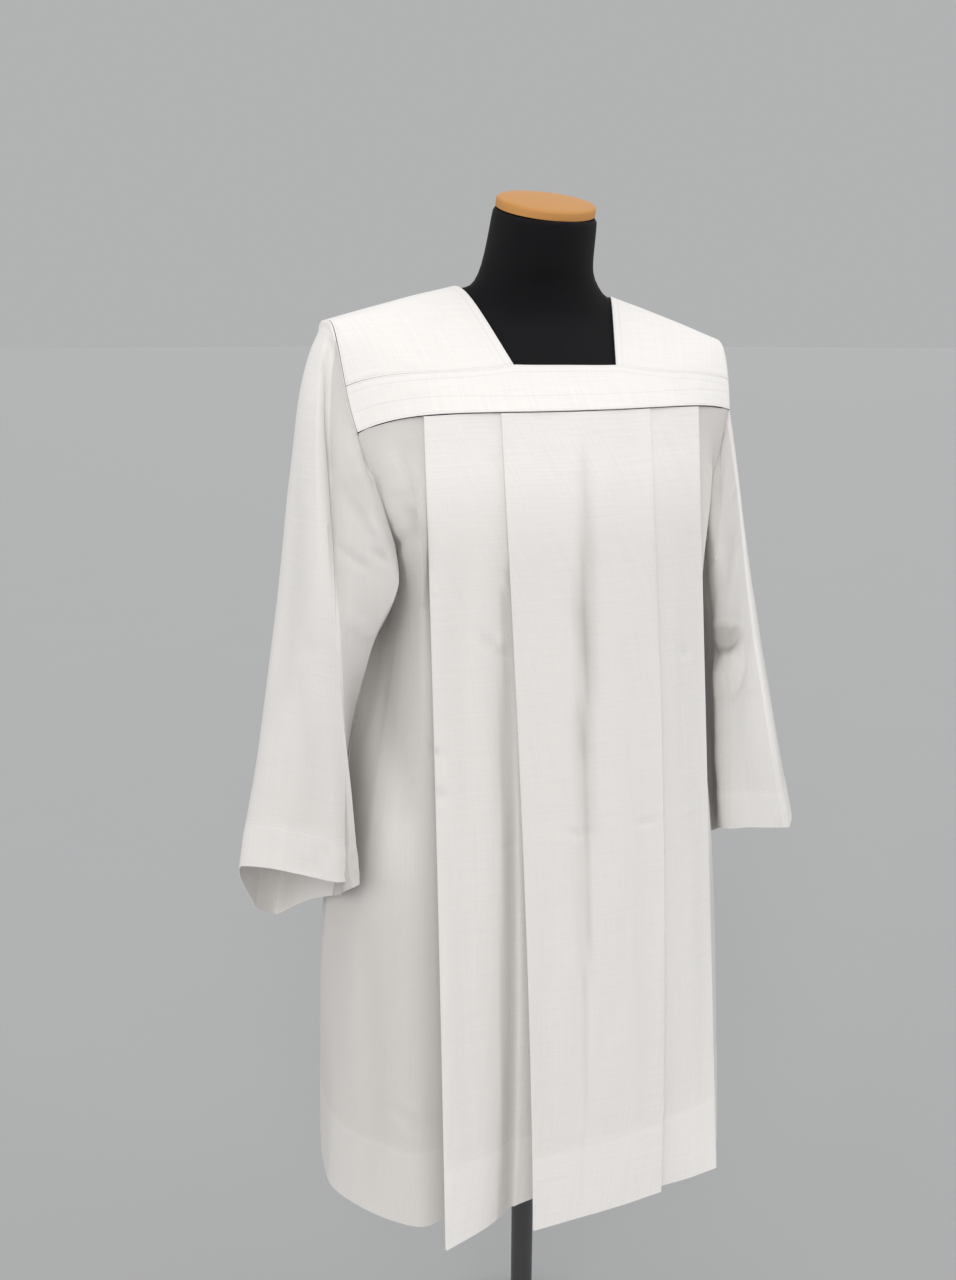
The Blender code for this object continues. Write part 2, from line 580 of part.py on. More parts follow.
def yoke_shoulder(hand):
    """One shoulder piece, from the front band over the shoulder line to the back band."""
    grid = []
    for r in range(-SHOULDER_ROWS, SHOULDER_ROWS + 1):
        side = "front" if r <= 0 else "back"
        v = abs(r) / SHOULDER_ROWS
        end_x, end_fore = band_end(side, hand, 0)
        inner = neck_x(side, v * SIDES[side]["neck"])
        outer = armhole_x(side, hand, v * end_fore) - SEAM_GAP
        row = []
        for c in range(SHOULDER_COLUMNS + 1):
            u = c / SHOULDER_COLUMNS
            fore = v * (band_top(side, lerp(NECK_EDGE_X, end_x, u)) - SEAM_GAP)
            row.append(shoulder_point(side, hand * lerp(inner, outer, u), fore, YOKE_CLOTH / 2))
        grid.append(row)
    return cloth_wall(f"yoke_shoulder_{HANDS[hand]['name']}", grid, YOKE_CLOTH)


# ---------------------------------------------------------------- sleeves
def sleeve(hand):
    """One sleeve: a tube that starts on the armhole and flattens towards the cuff."""
    lines = rows_of(SLEEVE_COLUMNS, SLEEVE_LINES[hand])
    roundness = [line["round"] for line in lines]
    spans = [line["spans"] for line in lines]
    seam = armhole_loop(hand, YOKE_CLOTH / 2) + (hand * (SEAM_GAP + CLOTH / 2 + YOKE_CLOTH / 2), 0, 0)
    starts = [seam[sum(spans[:i])] for i in range(len(lines))]

    def ring(t):
        places = []
        for line, start in zip(lines, starts):
            stations = [hand_point(hand, *line[station]) for station in SLEEVE_COLUMNS[1:5]]
            places.append(through(list(SLEEVE_STATIONS.values()), [start] + stations, t))
        return line_through(places, roundness, spans, closed=True)

    sag = seam - ring(0)
    grid = []
    for r in range(SLEEVE_ROWS + 1):
        t = (r / SLEEVE_ROWS) ** SLEEVE_ROW_POWER
        grid.append(ring(t) + sag * max(0.0, 1 - t / SLEEVE_STATIONS["upper"]) ** 2)
    return cloth_wall(f"sleeve_{HANDS[hand]['name']}", grid, CLOTH, closed=True)


# ---------------------------------------------------------------- dress form
def outline(half_width, half_depth, squareness, centre_y, z):
    """A rounded ring seen from above."""
    ring = []
    for k in range(FORM_RING_POINTS):
        angle = 2 * math.pi * k / FORM_RING_POINTS
        c, s = math.cos(angle), math.sin(angle)
        x = half_width * math.copysign(abs(c) ** (2 / squareness), c)
        y = half_depth * math.copysign(abs(s) ** (2 / squareness), s)
        ring.append((x, centre_y + y, z))
    return np.array(ring)


def shoulder_ring(share):
    """A ring of the form's shoulders, just under the yoke."""
    half_width, half_depth, squareness = FORM_SHOULDER
    plan = outline(half_width * share, half_depth * share, squareness, 0.0, 0.0)
    return [shoulder_point("front" if y < 0 else "back", x, abs(y), -FORM_GAP) for x, y, _ in plan]


def dress_form():
    rings = []
    for row in rows_of(FORM_BODY_COLUMNS, FORM_BODY):
        z = CREST_HEIGHT - row["drop"]
        rings.append(outline(row["half_width"], row["half_depth"], row["squareness"], 0.0, z))
    for share in FORM_TOP_SHARES:
        rings.append(shoulder_ring(share))
    for row in rows_of(NECK_COLUMNS, NECK_RINGS):
        ring = outline(row["half_width"], row["half_depth"], 2.0, row["centre_y"], CREST_HEIGHT + row["rise"])
        ring[:, 2] += (ring[:, 1] - row["centre_y"]) * math.tan(NECK_TILT * row["tilt"])
        rings.append(ring)
    return ring_body("form_body", rings, "black_jersey", SHARP_ANGLE["form"])


def turned_piece(name, profile, centre, tilt, finish):
    """A solid turned round its own axis from (radius, height) pairs, then tilted forward about its base."""
    rings = []
    for radius, height in profile:
        ring = []
        for k in range(ROUND_SIDES):
            angle = 2 * math.pi * k / ROUND_SIDES
            x, y = radius * math.cos(angle), radius * math.sin(angle)
            turned_y = y * math.cos(tilt) - height * math.sin(tilt)
            turned_z = y * math.sin(tilt) + height * math.cos(tilt)
            ring.append((centre[0] + x, centre[1] + turned_y, centre[2] + turned_z))
        rings.append(ring)
    return ring_body(name, rings, finish, SHARP_ANGLE["turned"])


def rounded_disc(radius, thickness, edge):
    """The profile of a disc whose rim is rounded at the top."""
    corners = [(math.sin(a), math.cos(a)) for a in np.linspace(math.pi / 2, 0, 4)]
    return [(radius, 0.0)] + [(radius - edge + edge * s, thickness - edge + edge * c) for s, c in corners]


def stand():
    neck_top = rows_of(NECK_COLUMNS, NECK_RINGS)[-1]
    seat = (0.0, neck_top["centre_y"], CREST_HEIGHT + neck_top["rise"] + SEAM_GAP)
    cap = rounded_disc(CAP_RADIUS, CAP_THICKNESS, CAP_EDGE_ROUND)
    turned_piece("form_neck_cap", cap, seat, NECK_TILT, "varnished_wood")
    foot = rounded_disc(FOOT_RADIUS, FOOT_THICKNESS, FOOT_EDGE_ROUND)
    turned_piece("stand_foot", foot, (0, 0, 0), 0, "black_steel")
    socket = rounded_disc(SOCKET_RADIUS, SOCKET_HEIGHT, FOOT_EDGE_ROUND)
    turned_piece("stand_socket", socket, (0, 0, FOOT_THICKNESS + SEAM_GAP), 0, "black_steel")
    rod_low = FOOT_THICKNESS + SOCKET_HEIGHT + 2 * SEAM_GAP
    body_low = CREST_HEIGHT - FORM_BODY[0][0]
    rod = [(ROD_RADIUS, 0.0), (ROD_RADIUS, body_low - SEAM_GAP - rod_low)]
    turned_piece("stand_rod", rod, (0, 0, rod_low), 0, "black_steel")


def clear_scene():
    for old in list(bpy.data.objects):
        bpy.data.objects.remove(old)


def main():
    clear_scene()
    for side in SIDES:
        skirt_panel(side)
        yoke_band(side)
    for hand in HANDS:
        yoke_shoulder(hand)
        sleeve(hand)
    dress_form()
    stand()


main()
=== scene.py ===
"""Finish of a pleated surplice on a limbless dress form: its creased cloth, jersey, wood and steel."""

import math

import bpy
import numpy as np
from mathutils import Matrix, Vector, noise


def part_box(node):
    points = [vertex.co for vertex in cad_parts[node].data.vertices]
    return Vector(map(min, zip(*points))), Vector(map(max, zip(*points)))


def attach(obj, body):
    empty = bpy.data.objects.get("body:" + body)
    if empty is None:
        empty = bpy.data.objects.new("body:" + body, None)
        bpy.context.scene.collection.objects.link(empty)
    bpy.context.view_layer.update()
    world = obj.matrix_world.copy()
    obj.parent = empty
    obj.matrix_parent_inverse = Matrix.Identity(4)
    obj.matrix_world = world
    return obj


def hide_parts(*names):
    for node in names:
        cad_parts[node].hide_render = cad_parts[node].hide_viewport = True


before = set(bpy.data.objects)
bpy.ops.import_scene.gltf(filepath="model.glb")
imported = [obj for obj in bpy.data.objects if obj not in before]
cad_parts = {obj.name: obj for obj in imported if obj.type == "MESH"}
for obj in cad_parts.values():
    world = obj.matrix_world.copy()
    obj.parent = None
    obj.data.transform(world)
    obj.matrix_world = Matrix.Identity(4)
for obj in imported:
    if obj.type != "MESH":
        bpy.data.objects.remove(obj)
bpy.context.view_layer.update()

bl_info = {
    "name": "Surplice on a dress form",
    "version": (1, 0, 0),
    "blender": (4, 5, 0),
    "location": "View3D > Sidebar > Surplice",
    "description": "Makes the cloth, the dress form and the stage of a pleated surplice",
    "category": "Object",
}

LEFT, RIGHT = 1, -1
TABLE_DIGITS = 7  # decimals that are kept of a metre


def milli(table):
    """A table given in millimetres, and for shares in thousandths, as metres and shares."""
    if isinstance(table, dict):
        return {key: milli(rows) for key, rows in table.items()}
    if isinstance(table, (int, float)):
        return round(table / 1000, TABLE_DIGITS)
    return [milli(row) for row in table]


# ---------------------------------------------------------------- driving sizes
CREST_HEIGHT = 1.480  # floor to the shoulder crest beside the neck
GARMENT_DROP = 0.985  # shoulder crest to hem, which hangs level all round
CLOTH = 0.0010  # wall of the skirt and sleeves
YOKE_CLOTH = 0.0012  # wall of the yoke, which is cut double
SEAM_GAP = 0.00005
LAYER_PITCH = 0.0019  # distance from one pleat layer to the next, wall centre to wall centre
FOLD_RADIUS = LAYER_PITCH / 2

# Shoulder surface, which the yoke lies on: two slopes that meet at a rounded ridge, the shoulder line.
SHOULDER_HALF_WIDTH = 0.2241
CREST_RISE = 0.0142  # how far the shoulder line would rise above the crest at the centre
CREST_SLOPE = 0.345
CREST_ROUND = 0.080
CREST_TILT = 0.052  # the wearer's left shoulder hangs lower than the right
RIDGE_ROUND = 0.020
FALL_POWER = 0.95  # how the surface falls from the shoulder line to the seam, where 1 is a straight slope
FALL_POWER_GAIN = 1.85  # what is added at the shoulder's end, which stays high and then turns down
NORMAL_STEP = 0.0001

# Each side of the garment. seam: where the yoke's lower seam stands at the centre. seam_curve: how fast it
# curves back towards the armholes. neck: where the neck's straight edge stands. hem: share of the front's
# fullness.
SIDES = {
    "front": {"sign": -1, "seam": 0.1206, "seam_curve": 1.42, "neck": 0.081, "seam_drop": 0.112, "hem": 1.00},
    "back": {"sign": 1, "seam": 0.1240, "seam_curve": 1.46, "neck": 0.072, "seam_drop": 0.104, "hem": 0.97},
}
# Each hand. armhole_x: centre to armhole along the shoulder line. tuck_in: how far the armhole comes in from
# there to the yoke's corner. corner_drop: how far the yoke's lower seam falls on its way to that corner.
TUCK_IN_POWER = 3.5
CORNER_DROP_POWER = 6
HANDS = {
    LEFT: {"name": "left", "armhole_x": 0.2130, "tuck_in": 0.0060, "corner_drop": 0.0145},
    RIGHT: {"name": "right", "armhole_x": 0.2220, "tuck_in": 0.0129, "corner_drop": 0.0295},
}

# Yoke
NECK_CREST_X = 0.0890  # half width of the neck opening at the shoulder line
NECK_EDGE_X = 0.0565  # half width of its straight lower edge
NECK_CENTRE_BOW = 0.004  # that edge bows this far out at the centre
BAND_REACH_AT_NECK = 0.035  # how far the straight band reaches back from the lower seam, seen from above
BAND_REACH_AT_ARMHOLE = 0.0066
BAND_ROWS = 3
BAND_END_TRIES = 12  # rounds that bring the band's end onto the armhole
SHOULDER_ROWS = 6  # from the shoulder line to the band

# Armhole below the yoke: a Bezier curve from the yoke's corner to the underarm, with its end and two handles,
# each as x, fore and drop.
UNDERARM = (0.190, 0.0, 0.300)
ARMHOLE_PULL = {
    ("front", RIGHT): ((0.2120, 0.0716, 0.1694), (0.1560, 0.0992, 0.2448)),
    ("front", LEFT): ((0.1940, 0.0420, 0.1640), (0.1600, 0.1230, 0.2300)),
    ("back", RIGHT): ((0.2140, 0.0780, 0.1650), (0.1760, 0.0980, 0.2500)),
    ("back", LEFT): ((0.2060, 0.0780, 0.1600), (0.1740, 0.0980, 0.2500)),
}
PIT_STEPS = 8  # spans from the yoke's corner to the underarm

# Pleats, from the centre line outwards. One row for each line that runs from the yoke's seam to the hem.
# layer counts the thicknesses over the line at the yoke. open_x and open_fore are how far its lower end
# moves where the pleat hangs open. ease bends the line. turn is 1 on a fold, where the cloth doubles back,
# and out is the way that the fold points: 1 away from the centre, -1 towards it.
PLEAT_COLUMNS = ("name", "top_x", "layer", "hem_x", "hem_fore", "open_x", "open_fore", "ease", "turn", "out")
PLEATS = [
    ("centre", 0.0, 0, 0.0, 0.207, 0.0, 0.0, 1.6, 0, 0),
    ("box_edge", 0.08, 0, 0.082, 0.205, -0.0065, 0.0, 1.6, 1, 1),
    ("box_tuck", 0.0175, 1, 0.02, 0.2015, 0.02, -0.04, 1.6, 1, -1),
    ("knife_root", 0.08, 2, 0.086, 0.1985, 0.0, -0.033, 1.5, 0, 0),
    ("knife_face", 0.118, 1, 0.125, 0.1975, 0.001, -0.015, 1.2, 0, 0),
    ("knife_edge", 0.1505, 0, 0.161, 0.194, 0.013, 0.003, 1.0, 1, 1),
    ("knife_tuck", 0.088, 2.8, 0.104, 0.1925, 0.022, -0.042, 1.0, 1, -1),
    ("side_root", 0.1505, 2, 0.159, 0.1885, 0.003, -0.036, 1.0, 0, 0),
]
OPENING_POWER = 1.5  # how the opening grows from nothing at the yoke's seam
PLEAT_OPENING = {("front", RIGHT): 1.0, ("front", LEFT): 0.06, ("back", RIGHT): 0.35, ("back", LEFT): 0.45}

# Side of the skirt. Its lines start on the yoke's seam at YOKE_LINES, given as (x, layer), and then on the
# armhole. One row for either yoke line and for every second armhole line, from the yoke's corner to the side
# seam, with its (x, fore) at each section.
YOKE_LINES = [(0.1740, 1.0), (0.1930, 0.4)]
SECTION_DROP = {"arm": 0.245, "pit": 0.330, "thigh": 0.680, "hem": GARMENT_DROP}
SIDE_SHAPE = milli({
    ("front", RIGHT): [
        ((161, 97), (161, 103), (170, 133), (175, 156.5)),
        ((168, 92.5), (165, 96.5), (180, 131.5), (187, 156.5)),
        ((174, 83), (168, 88), (191, 127), (199, 150)),
        ((175, 74), (172, 74), (213, 106), (224, 127)),
        ((176, 66), (174, 60), (232, 77), (248, 95)),
        ((178, 45), (177, 40), (241, 40), (266, 55)),
        ((186, 0), (186, 0), (247, 0), (262, 0)),
    ],
    ("front", LEFT): [
        ((158, 96.5), (157.5, 104), (163.5, 148), (163.5, 185)),
        ((163, 91), (160, 99), (168, 143), (170, 177.5)),
        ((168, 83), (164, 90), (174, 136), (178, 166)),
        ((171, 74), (170, 75), (192, 109), (200, 134)),
        ((174, 65), (176, 55), (212, 78), (224, 96)),
        ((180, 35), (182, 28), (230, 42), (244, 52)),
        ((186, 0), (186, 0), (238, 0), (252, 0)),
    ],
    ("back", RIGHT): [
        ((162, 98), (160, 105), (164, 143), (170, 170.5)),
        ((170, 92), (166, 99), (173, 138), (180, 165)),
        ((178, 84), (171, 91), (183, 130), (190, 156)),
        ((182, 75), (178, 76), (207, 106), (212, 132)),
        ((183, 66), (183, 55), (228, 77), (232, 100)),
        ((185, 35), (186, 28), (239, 42), (250, 54)),
        ((187, 0), (188, 0), (247, 0), (262, 0)),
    ],
    ("back", LEFT): [
        ((160, 98), (159, 105), (163, 141), (170, 167)),
        ((167, 92), (164, 99), (171, 136), (179, 162)),
        ((174, 84), (168, 91), (180, 129), (188, 153)),
        ((178, 75), (175, 76), (203, 104), (209, 128)),
        ((180, 66), (181, 55), (222, 75), (231, 92)),
        ((183, 35), (184, 28), (233, 40), (247, 50)),
        ((186, 0), (186, 0), (238, 0), (252, 0)),
    ],
})
SECTION_CLEARANCE = 0.030  # a line skips a section that is less than this below its top
ARM_FOLD = {"fore": 0.012, "drop": 0.205, "reach": 0.080}  # soft fold down the first yoke line of the front
SKIRT_ROWS = 13  # that fold grows from nothing over the first of this many equal parts of the drop
HANGING_ROUNDNESS = 0.8  # of a line that has no fold on it

# Sleeves. One row for each line from armhole to cuff: the outer line, the crease, the front fold, the line
# under the arm, the back fold and the back crease. Each has its place (x, y, drop) at the sleeve head, the
# upper arm, the elbow and the cuff.
SLEEVE_LINES = milli({
    RIGHT: [
        ((240, 0, 60), (254, 2, 118), (287, 6, 350), (337, -6, 594)),
        ((234, -31, 68), (244, -54, 140), (247, -100, 345), (235, -102, 590)),
        ((182, -84, 242), (184, -98, 276), (213, -88, 358), (237, -72, 612)),
        ((199, 0, 322), (208, 2, 352), (232, 4, 440), (264, 12, 658)),
        ((200, 84, 242), (208, 92, 280), (236, 94, 400), (288, 80, 706)),
        ((232, 34, 68), (244, 58, 150), (266, 84, 372), (314, 56, 680)),
    ],
    LEFT: [
        ((229, 0, 78), (242, 2, 124), (288, -10, 360), (347, -32, 628)),
        ((216, -28, 84), (217, -52, 140), (241, -84, 352), (310, -86, 622)),
        ((179, -82, 240), (181, -95, 275), (196, -92, 358), (218, -90, 604)),
        ((198, 0, 322), (206, 2, 352), (228, 4, 440), (256, 0, 655)),
        ((198, 82, 240), (206, 90, 280), (234, 90, 400), (284, 70, 690)),
        ((222, 34, 88), (236, 56, 150), (268, 74, 372), (330, 36, 668)),
    ],
})
# How round the cloth turns at each line: 0 for a pressed crease and 1 for a soft curve.
SLEEVE_ROUND = {RIGHT: (0.80, 0.10, 0.50, 0.90, 0.60, 0.35), LEFT: (0.80, 0.35, 0.45, 0.90, 0.60, 0.35)}
SLEEVE_SPANS = (3, 10, 4, 4, 10, 3)  # from each line to the next, which add up to the armhole's spans
SLEEVE_STATIONS = {"armhole": 0.0, "head": 0.07, "upper": 0.16, "elbow": 0.52, "cuff": 1.0}
SLEEVE_ROW_POWER = 1.3  # sets the rows closer near the armhole
# The lines that each face lies between. The outer one goes past the last line to the first ones.
SLEEVE_FACES = {"front": (0.9, 2.3), "outer": (5.0, 1.1), "back": (3.7, 5.1)}

# ---------------------------------------------------------------- creases and mesh sizes
# A crease runs from one place to another. Each row has the two places, how far the crease bows as a share of
# its length, where it fades, and how far it stands out, or sinks in where negative. Places are (x, drop) on
# the skirt and the sleeves, (y, drop) on a sleeve's outer face and (x, y) on the yoke.
SKIRT_CREASES = milli({
    ("front", "box"): [
        (2.4, 131, -11, 480, 0, 2.6, -1.1),
        (2.2, 132, 1, 186, 0, 7, -1),
        (-1.4, 204, -3, 258, 0, 8, -1.3),
        (-4.2, 262, -8.2, 392, 0, 8.5, -1.9),
        (-24, 290, -12, 335, 0, 12, -1.8),
        (-8.4, 398, -11.2, 478, 0, 11, -1.4),
        (-11.2, 490, -16, 940, 10, 11, -0.8),
    ],
    ("front", "knife_right"): [
        (-84, 220, -87, 1200, 0, 14, -5),
        (-90, 280, -108, 965, -10, 6, 1.3),
    ],
    ("front", "all"): [
        (-22, 190, -33, 620, 20, 13, 1.3),
        (26, 220, 21, 700, -20, 15, 1.4),
        (-56, 560, -60, 975, 20, 14, -1.4),
        (50, 500, 56, 970, -10, 16, -1.6),
        (-118, 190, -124, 560, 30, 15, -1.8),
        (-104, 440, -112, 965, -20, 17, 1.7),
        (-138, 520, -145, 960, 10, 11, -1.3),
        (113, 210, 118, 640, 20, 13, 1.3),
        (131, 480, 139, 965, -20, 12, -1.7),
        (-102.5, 543.9, -76, 547.1, 50, 2.8, -1.5),
        (-148, 541, -121, 544, 20, 2.6, 0.8),
        (-33, 528.5, -18.2, 537.5, 50, 3, -2),
        (-18.2, 537.5, -3, 532, 50, 3, -2),
        (44, 533, 79, 538.5, -30, 3, -1.9),
        (95, 539, 142, 542, 20, 2.8, 1),
        (-106, 327, -83, 349, 100, 6, -3.7),
        (-99, 347, -86, 330, 50, 5, 1.7),
        (-160, 433, -149, 450, 100, 4.5, -2.7),
        (-161, 480, -150, 495, -100, 4.5, -2.4),
        (117, 356, 127, 373, 100, 5, -2.7),
        (-204, 827, -170, 860, 40, 4.5, 2),
        (-212, 842, -180, 873, 40, 6, -1.7),
        (-185, 560, -196, 960, 30, 14, 1.6),
        (-225, 620, -233, 970, -20, 18, -2.1),
        (183, 500, 200, 960, 20, 16, -2.3),
        (-186, 150, -178, 240, 50, 7, 3),
        (176, 145, 164, 300, -80, 9, -3),
        (-100, 133, -90, 190, 50, 10, 1),
        (30, 132, 36, 200, 50, 10, 1),
    ],
    ("front", "side"): [
        (-174, 130, -171, 245, -45, 8, -6),
        (-169, 172, -170, 220, 0, 3, -3),
        (-170, 220, -180, 300, 50, 6, -4),
    ],
    ("back", "all"): [
        (-1, 128, 5, 520, 10, 9.5, -2.4),
        (5, 430, 12, 960, -10, 13, -1.8),
        (-34, 210, -31, 720, 20, 15, 1.6),
        (38, 250, 43, 880, -20, 14, 1.4),
        (-59, 470, -62, 970, 10, 12, -1.6),
        (-115, 200, -119, 700, 20, 15, -1.7),
        (-133, 510, -140, 965, -20, 13, 1.6),
        (112, 230, 119, 620, 20, 14, 1.6),
        (129, 450, 137, 960, 10, 12, -1.7),
        (56, 536, 23, 533, 30, 3, -1.9),
        (-12, 534, -56, 539, -30, 3, -1.7),
        (98, 540, 134, 537, 20, 3, 1),
        (90, 360, 112, 342, 100, 6, -3.1),
        (-105, 410, -90, 426, 100, 5.5, -2.4),
        (192, 800, 217, 835, 50, 5, 2),
        (-199, 570, -212, 960, 20, 16, -2.1),
        (198, 550, 212, 960, 20, 16, 1.8),
        (178, 140, 170, 270, 80, 9, -2.8),
        (-180, 150, -172, 280, -80, 9, -2.8),
    ],
})
# Painted shade and painted light on the skirt, laid out as creases, with a share for the height. Marks above
# 0 paint shade: down the box pleat's centre they paint the shade in its troughs and the dark form seen
# through the cloth where it lies close to it. Marks with a minus sign paint light, such as on the side panels
# where the sleeves' shade falls.
SKIRT_PAINTED_SHADE = milli({
    ("front", "box"): [
        (-1, 126, -20.5, 960, 0, 1.9, 260),
        (2.6, 128, -2.2, 300, 0, 11, 300),
        (-0.2, 222, -7, 410, 10, 15, 340),
        (-3.2, 290, -6.2, 376, 0, 12, 300),
        (-5.4, 350, -11.2, 550, 10, 12.5, 360),
        (-7.6, 390, -9.6, 460, 0, 11, 220),
        (-10, 480, -15, 720, 10, 12, 200),
    ],
    ("front", "side"): [
        (-190, 320, -206, 600, 0, 40, -950),
        (-178, 110, -174, 240, 0, 32, -340),
        (156, 220, 180, 660, 0, 35, -800),
        (-133, 230, -142, 360, 0, 18, 220),
    ],
    ("back", "box"): [
        (1, 126, 8, 960, 0, 1.7, 260),
        (2, 200, 3.5, 270, 0, 10, 300),
        (5, 360, 6.5, 460, 0, 10, 340),
    ],
})
# Where an open pleat's cloth lies single: from its root out to this edge, as drops with their distances to
# the centre.
SINGLE_STRIPS = milli({
    ("front", "knife_right"): ((250, 79), (292.5, 88.2), (497, 94.9), (660, 98.8), (985, 107)),
    ("back", "knife_left"): ((300, 79), (520, 88), (985, 95)),
    ("back", "knife_right"): ((340, 79), (600, 87), (985, 92)),
})
SINGLE_SOFT = 0.0016  # half width of the soft edge between single and double cloth
# How white each face is without its painted marks: 1 as where more cloth lies behind it, 0 as on the dark
# form. The side panels' share is also set low as painted shade, for the shade of the sleeves over them.
PLEAT_BACKING = 0.70
SIDE_BACKING_AND_SHADE = 0.34
# Painted light and shade of the sleeves: how white each face is painted at the head and at the cuff, lighter
# on the outer faces and darker on the front faces as the light falls on them, and the outer and back faces
# darker towards the cuff.
SLEEVE_LIGHT_AND_SHADE = {"front": (0.46, 0.50), "outer": (0.95, 0.62), "back": (0.80, 0.62)}
# Painted shade and painted light on the sleeves, laid out as for the skirt: marks above 0 paint shade, such
# as beside the right sleeve's crease and under the left sleeve's fold, and marks with a minus sign paint
# light.
SLEEVE_PAINTED_SHADE = milli({
    (RIGHT, "front"): [
        (-232, 54, -247, 280, 20, 7, 750),
        (-224, 290, -233, 420, 20, 15, 120),
    ],
    (LEFT, "front"): [
        (180, 120, 182, 240, 20, 16, 300),
        (199, 346, 207, 398, 100, 16.5, 800),
        (226, 200, 296, 640, 0, 28, -450),
        (214, 380, 244, 680, 0, 45, -280),
    ],
    (LEFT, "outer"): [
        (-20, 80, -50, 660, 0, 50, 500),
    ],
})
TOP_PAINTED_LIGHT = (0.44, 0.105, 0.265)  # painted light: the pleats are painted whiter near the yoke, as if lit from above; the extra share, and the drops between which it fades
DIP_SHADE = 40.0  # painted shade: how much darker a trough is painted for each metre of its depth, partly for the dark form showing through where the cloth dips towards it
SLEEVE_CREASES = milli({
    (RIGHT, "front"): [
        (-232, 56, -245, 310, 20, 11, -8),
        (-229, 36, -226.2, 66, 0, 6, -4),
        (-214, 125, -202, 190, 0, 13, 4.7),
        (-218, 140, -196, 205, 60, 8, 4.7),
        (-228, 175, -201, 232, 50, 7.5, -3.6),
        (-238, 236, -208, 262, 40, 5, -2.9),
        (-208, 240, -188, 253, 60, 4.5, -3.2),
        (-205, 212, -188, 235, 50, 6, 3.2),
        (-236, 300, -206, 330, 50, 8, 2.2),
        (-225, 360, -233, 560, 20, 9, -1.8),
        (-240, 600, -238, 545, 50, 7, -3.2),
        (-212, 360, -236, 680, 0, 30, -19),
    ],
    (RIGHT, "outer"): [
        (-60, 602, -85, 545, 80, 7, -3),
        (-78, 588, -95, 552, 80, 5, 1.9),
        (-38, 180, -56, 420, 50, 17, 2.4),
        (-5, 150, -14, 470, 30, 20, -3),
        (-56, 400, -48, 590, 40, 16, -2.7),
        (-20, 380, -5, 580, 30, 18, 2.4),
        (-18, 530, -45, 560, 100, 6, 1.4),
        (-70, 330, -42, 352, 100, 6, -1.4),
    ],
    (RIGHT, "back"): [
        (-250, 180, -235, 330, 60, 12, -3),
        (-225, 210, -208, 290, 50, 8, 2.2),
        (-270, 350, -250, 560, 40, 15, -2.4),
        (-245, 400, -268, 620, 30, 12, 1.8),
    ],
    (LEFT, "front"): [
        (176, 380, 224, 390, 50, 17, -12),
        (185, 356, 223, 374, -220, 4.5, 2),
        (218, 376, 204, 440, -180, 6, 3.4),
        (220, 428, 248, 436, 50, 4, 1.3),
        (211, 265, 221, 258, 0, 3, 1.5),
        (183, 145, 177, 250, 50, 8, 3.1),
        (204, 160, 188, 230, 40, 7, -2.5),
        (218, 205, 206, 216, 50, 4.5, 1.7),
        (215, 250, 195, 330, 30, 10, -2.5),
        (245, 390, 280, 600, 30, 13, 2.8),
        (225, 440, 245, 600, 20, 11, -2.8),
        (178, 255, 219, 640, 0, 26, 15),
    ],
    (LEFT, "outer"): [
        (-30, 170, -40, 360, 40, 16, -2.2),
        (5, 200, -6, 560, 30, 19, 2.2),
        (-38, 390, -60, 590, 40, 13, -2),
    ],
    (LEFT, "back"): [
        (245, 185, 230, 340, 60, 12, -2.8),
        (220, 215, 206, 290, 50, 8, 2),
        (276, 360, 262, 560, 40, 15, 2.2),
        (245, 400, 250, 610, 30, 12, -2.2),
    ],
})
YOKE_CREASES = milli({
    ("yoke_shoulder_right", "all"): [
        (-169, -56, -150, -72, 100, 5, 0.8),
        (-156, -48, -140, -65, 100, 5, 0.7),
        (-140, -54, -133, -70, 50, 4, 0.7),
        (-111, -58, -102, -76, 50, 4.5, 0.7),
        (-123, -62, -115, -78, 50, 4, 0.5),
        (-130, 45, -140, 67, 80, 5, 0.7),
    ],
    ("yoke_shoulder_left", "all"): [
        (150, -54, 140, -74, 80, 5, 0.6),
        (115, 48, 129, 69, 80, 5, 0.7),
        (160, 45, 168, 64, 80, 5, 0.6),
    ],
    ("yoke_band_front", "all"): [
        (-165, -72, -152, -80, 50, 5, 0.6),
        (160, -70, 150, -83, 50, 5, 0.6),
    ],
    ("yoke_band_back", "all"): [
        (140, 78, 150, 88, 50, 5, 0.6),
    ],
})
CREASE_POINTS = 14  # along each crease
CREASE_SHOULDER = 0.30  # share of a crease that is given back as a softer swell beside it
CREASE_SHOULDER_WIDTH = 2.4  # of that swell, where 1 is the crease's own width
CREASE_FADE = 0.7
CREASE_REACH = 3  # widths from its line past which a crease does nothing
SHORTEST_WAY = 1e-12  # square of a length that still gives a direction
CREASE_TIP = 0.02  # at its very ends a crease is as high as at this share of its length

SKIRT_PITCH = 0.0052  # width of a mesh span
SKIRT_FINE_ROWS = 165
MODEL_SHARE = 0.6  # the row whose widths set how many columns each face gets
FOLD_STEPS = 4
SEAM_HOLD = 0.014  # cloth this near a seam doesn't move
RIPPLE_HEIGHT = 0.0011
SKIRT_RIPPLE = (0.055, 0.170)  # pitch across and down
SLEEVE_RIPPLE = (0.050, 0.090)
SLEEVE_SEED = 3
HEM_RISE = 0.0006
HEM_STEP = 0.0016  # half width of the slope at a hem's upper edge
YOKE_BAND_FINE = (14, 150)
YOKE_SHOULDER_FINE = (40, 44)
YOKE_HOLD = 0.008
YOKE_RIPPLE = (0.030, 0.030)
YOKE_RIPPLE_HEIGHT = 0.0004
SLEEVE_FINE = 4
SLEEVE_FINE_ROWS = 120
RIDGE_AT, RIDGE_WIDTH, RIDGE_RISE = 0.003, 0.0022, 0.0009  # the seam allowance under the sleeve head
RIM_ANGLE = math.radians(60)

